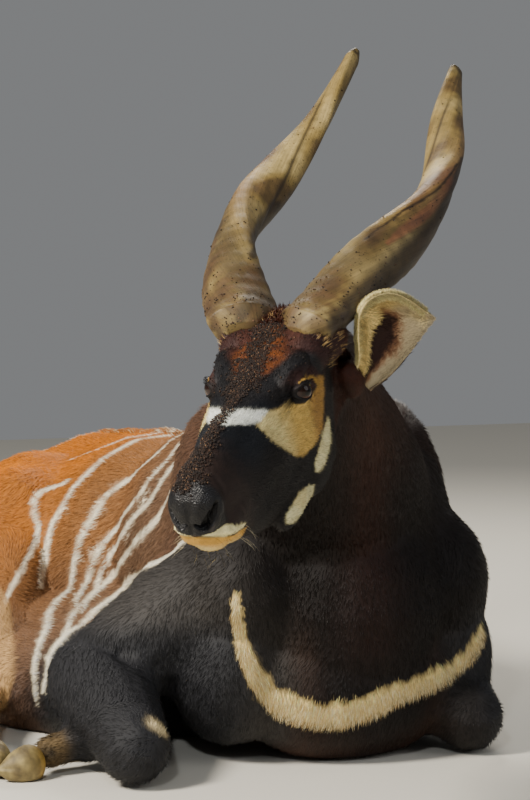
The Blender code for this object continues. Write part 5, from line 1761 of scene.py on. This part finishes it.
def furTail():
    values = longHair["tail"]
    dice = np.random.default_rng(101)
    count = values["count"]
    way = np.array(values["way"])
    way /= np.linalg.norm(way)
    aside = np.array((-way[1], way[0], 0))
    spin = dice.uniform(0, 2 * math.pi, count)
    out = aside * np.cos(spin)[:, None] + np.array((0, 0, 1)) * np.sin(spin)[:, None]
    reach = dice.uniform(-0.02, 0.075, count)
    roots = np.array(values["end"]) + way * reach[:, None] + out * (0.006 + 0.006 * dice.random(count))[:, None]
    roots = roots + shiftArray
    ways = way + out * (0.10 * dice.random(count))[:, None] + dice.normal(0, 0.05, (count, 3))
    ways = unit(ways * (1, 1, 0.5))
    lengths = dice.uniform(*values["length"], count)
    colours = srgb(values["tint"]) * dice.uniform(0.7, 1.6, count)[:, None]
    flat = np.stack((np.full(count, 0.99), dice.uniform(0.96, 0.97, count)), 1)
    makeCoat("tail_hair", roots, laidFlat(out, ways), flat, ways, lengths, values["width"], 0.06, 0.05, colours,
             bent=True, slot="tail_coat")
    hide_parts("tail_tuft")


def furCrest():
    # The short upright mane from the poll over the withers to the loins
    values = longHair["crest"]
    dice = np.random.default_rng(111)
    count = values["count"]
    path = smoothPath(values["path"], 12)
    share = dice.random(count)
    line = np.stack([valueAt(share, path[:, axis]) for axis in range(3)], 1)
    line += dice.normal(0, 0.007, (count, 3))
    roots, normals = nearestOnSkin(line + shiftArray)
    ways = flowOf(roots, normals)
    lengths = np.interp(share, *values["lengths"]) * dice.uniform(0.7, 1.2, count)
    tint = coatColour(roots, normals)
    pale = (dice.random(count) < 0.18)[:, None]
    colours = np.where(pale, srgb(values["tint"]), tint * 0.7) * dice.uniform(0.8, 1.2, count)[:, None]
    makeCoat("crest_hair", roots, normals, freeFlat(count, dice), ways, lengths, values["width"],
             np.radians(values["lift"]) * dice.uniform(0.6, 1.3, count), 0.10, colours, bent=True)


def furCrescent():
    # Long cream hair of the chest crescent, falling over its lower edge
    values = longHair["crescent"]
    dice = np.random.default_rng(121)
    front = (surface.middle[:, 1] < 0.1 + shift.y) & (headShare(surface.middle) < 0.1)
    roots, normals, flat = surface.draw(np.where(front, values["perArea"], 0), 122)
    design = roots - shiftArray
    gap, wide = bandOf(viewPlace(design), crescent["path"], crescent["wide"])
    keep = (gap / wide < 0.90) & (design[:, 1] < 0.08) & (normals[:, 1] < 0.35)
    roots, normals, flat = roots[keep], normals[keep], flat[keep]
    count = len(roots)
    ways = laidFlat(flowOf(roots, normals) + dice.normal(0, 0.10, (count, 3)), normals)
    lengths = values["length"] * dice.uniform(0.6, 1.3, count)
    colours = mixed(*(srgb(tint) for tint in values["tints"]), dice.random(count))
    makeCoat("crescent_hair", roots, normals, flat, ways, lengths, values["width"],
             np.radians(values["lift"]) * dice.uniform(0.6, 1.5, count), 0.06, colours)


def furFace():
    # Lashes over each eye, whiskers on lip and chin, and the tuft between the horns
    values = longHair["face"]
    dice = np.random.default_rng(131)
    turn = toWorld.to_3x3()
    hairs = []

    def add(place, way, length, width, tint):
        lie = (turn @ Vector(way)).normalized()
        side = lie.cross(Vector((0, 0, 1))).normalized()
        hairs.append((toWorld @ Vector(place), side.cross(lie).normalized(), lie, length, width, tint))

    dark = srgb("#0b0706")
    for side in (1, -1):
        look, level = (Vector(way) for way in eyeWays(side))
        look.normalize()
        center = eyeSeat(side)
        for step in range(values["lashes"]):
            share = dice.uniform(-0.85, 0.85)
            up = 0.60 * math.sqrt(max(0, 1 - (share / 0.98) ** 2)) + 0.10
            spot = center + (look * math.sqrt(max(0.05, 1 - (share * 0.9) ** 2 - up ** 2)) + level * share * 0.9
                             + Vector((0, 0, up))).normalized() * 2.12
            add(spot, look * 0.9 + level * (share * 0.7 - 0.2) + Vector((0, 0, -0.25 + 0.3 * dice.random())),
                dice.uniform(*values["lashLength"]) * (1 if side > 0 else values["farLashes"]),
                values["lashWidth"], dark)
        for step in range(values["whiskers"]):
            along = dice.uniform(33.5, 41.5)
            y = np.interp(along, (33, 38, 41, 42), (4.3, 3.9, 2.6, 0.6)) * side
            add((along, y * 0.96, -9.3 - (41 - along) * 0.38 + dice.uniform(-1.6, 1.2)),
                (0.35 + dice.normal(0, 0.2), side * 0.7, -0.55 + dice.normal(0, 0.25)), dice.uniform(0.016, 0.034),
                values["whiskerWidth"], srgb("#cdbf9a") if dice.random() < 0.7 else dark)
    for step in range(values["chin"]):
        add((dice.uniform(37, 41), dice.uniform(-2.6, 2.6), -12.6 - 0.2 * dice.random()),
            (0.25 + dice.normal(0, 0.2), dice.normal(0, 0.35), -1), dice.uniform(0.012, 0.026),
            values["whiskerWidth"], srgb("#d9c48a"))
    for step in range(values["forelock"]):
        x = dice.uniform(-1.5, 5.2)
        y = dice.normal(0, 1.7)
        top = 1.9 - 0.05 * (x - 4) ** 2 - 0.05 * y * y
        add((x, y, top - 0.4), (0.5 + dice.normal(0, 0.25), dice.normal(0, 0.35) + y * 0.1, 0.75),
            dice.uniform(0.010, 0.020), values["forelockWidth"], srgb("#4a2010") * dice.uniform(0.5, 1.5))
    roots, normals, ways, lengths, widths, colours = (np.array(column) for column in zip(*hairs))
    makeCoat("face_hair", roots, normals, freeFlat(len(hairs), dice), ways, lengths, widths, 0.05, 0.03, colours,
             bent=True, slot="face_coat", tipTone=1.1, rootTone=0.9)


def furCollar():
    # Stiff hair that stands against the foot of each horn
    values = longHair["collar"]
    dice = np.random.default_rng(151)
    turn = toWorld.to_3x3()
    places = []
    lies = []
    for side in ("left", "right"):
        points = [Vector(point) for point in horns[side]["path"]]
        way = (hornPoint(points, 0.03) - hornPoint(points, -0.02)).normalized()
        across = way.cross(Vector((0, 0, 1))).normalized()
        above = across.cross(way)
        for step in range(values["count"]):
            angle = dice.uniform(0, 2 * math.pi)
            out = across * math.cos(angle) + above * math.sin(angle)
            reach = horns["radius"] * dice.uniform(1.02, 1.55)
            spot = hornPoint(points, dice.uniform(-0.03, 0.02)) + out * reach
            places.append(tuple(toWorld @ spot))
            lies.append(tuple((turn @ (way * 0.9 + out * 0.16)).normalized()))
    lies = np.array(lies) + dice.normal(0, 0.13, (len(lies), 3))
    roots, normals = nearestOnSkin(np.array(places))
    lies = unit(lies)
    near = np.linalg.norm(roots - np.array(places), axis=1) < values["reach"]
    roots, normals, lies = roots[near], normals[near], lies[near]
    outward = np.cross(unit(np.cross(lies, normals)), lies)
    count = len(roots)
    pale = (dice.random(count) < 0.22)[:, None]
    tint = coatColour(roots, normals) * 1.1
    colours = np.where(pale, srgb(values["tint"]), tint) * dice.uniform(0.7, 1.3, count)[:, None]
    makeCoat("horn_collar", roots, outward, freeFlat(count, dice), lies, dice.uniform(*values["length"], count),
             values["width"], 0.05, 0.02, colours, slot="face_coat")


furTail()
furCrest()
furCrescent()
furFace()
furCollar()
print("stage 11: long hair")

# Dried mud: matt, porous crumbs
mudLook = paintedMaterial("dried_mud", 0.95, 700.0, 3.0, (0.35, 0.65), (0.6, 1.4))
mudValues = {"perArea": 700000, "raised": 0.0014, "most": 9600, "tints": ("#160e0a", "#22160f", "#3b281b", "#6a4e36"),
             "chances": (0.42, 0.36, 0.17, 0.05)}


def makeMud():
    # Crumbs of dried mud down the middle of the face and on the fronts of the horns
    dice = np.random.default_rng(141)
    bpy.ops.mesh.primitive_ico_sphere_add(subdivisions=1, radius=1)
    seed = bpy.context.object
    shape = verticesOf(seed.data)
    corners = np.array([tuple(face.vertices) for face in seed.data.polygons])
    bpy.data.objects.remove(seed, do_unlink=True)
    roots, normals = surface.draw(np.where(headShare(surface.middle) > 0.5, mudValues["perArea"], 0), 142)[:2]
    lie = headPlaces(roots)
    spread = 0.035 * np.exp(-(lie[:, 1] / 5) ** 2) * (lie[:, 2] > -3) * (lie[:, 0] < 20)
    keep = dice.random(len(roots)) < mudShare(lie) * 0.62 + spread
    keep &= ~((lie[:, 0] > 39.5) & (lie[:, 2] < -2.5))
    spots = [roots[keep] + normals[keep] * mudValues["raised"]]
    sizes = [dice.uniform(0.0005, 0.0014, keep.sum()) * (0.7 + 0.6 * dice.random(keep.sum()))]
    for obj in hornPieces:
        places = verticesOf(obj.data)
        norms = normalsOf(obj.data)
        part = np.repeat([hornShare(row) for row in range(horns["rings"] + 1)], horns["sides"])
        away = norms @ (np.array(toWorld.to_3x3() @ Vector((0.75, 0.0, 0.65))) / headUnit)
        clumps = steps(-0.1, 0.9, wobble(places, 0.05, 143)) * 0.9 + 0.1
        chance = (0.17 * np.exp(-np.maximum(part, 0) / 0.16) + 0.010) * steps(-0.1, 0.6, away) * clumps
        chosen = dice.random(len(places)) < chance
        spots.append(places[chosen] + dice.normal(0, 0.0004, (chosen.sum(), 3)))
        sizes.append(dice.uniform(0.0005, 0.0016, chosen.sum()))
    spots = np.concatenate(spots)[:mudValues["most"]]
    sizes = np.concatenate(sizes)[:mudValues["most"]]
    tints = np.stack([srgb(tint) for tint in mudValues["tints"]])
    tone = tints[dice.choice(len(tints), len(spots), p=mudValues["chances"])]
    rough = shape[None] * (1 + dice.uniform(-0.35, 0.35, (len(spots), len(shape), 1)))
    places = spots[:, None] + rough * sizes[:, None, None]
    triangles = corners[None] + (np.arange(len(spots)) * len(shape))[:, None, None]
    mesh = meshFromArrays("dried_mud", places.reshape(-1, 3), triangles.reshape(-1, 3))
    setColour(mesh, "coat", np.repeat(tone, len(shape), axis=0))
    mesh.materials.append(mudLook)
    obj = linkMesh("dried_mud", mesh)
    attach(obj, "root")
    return len(spots)


print("stage 12: mud", makeMud(), "crumbs")
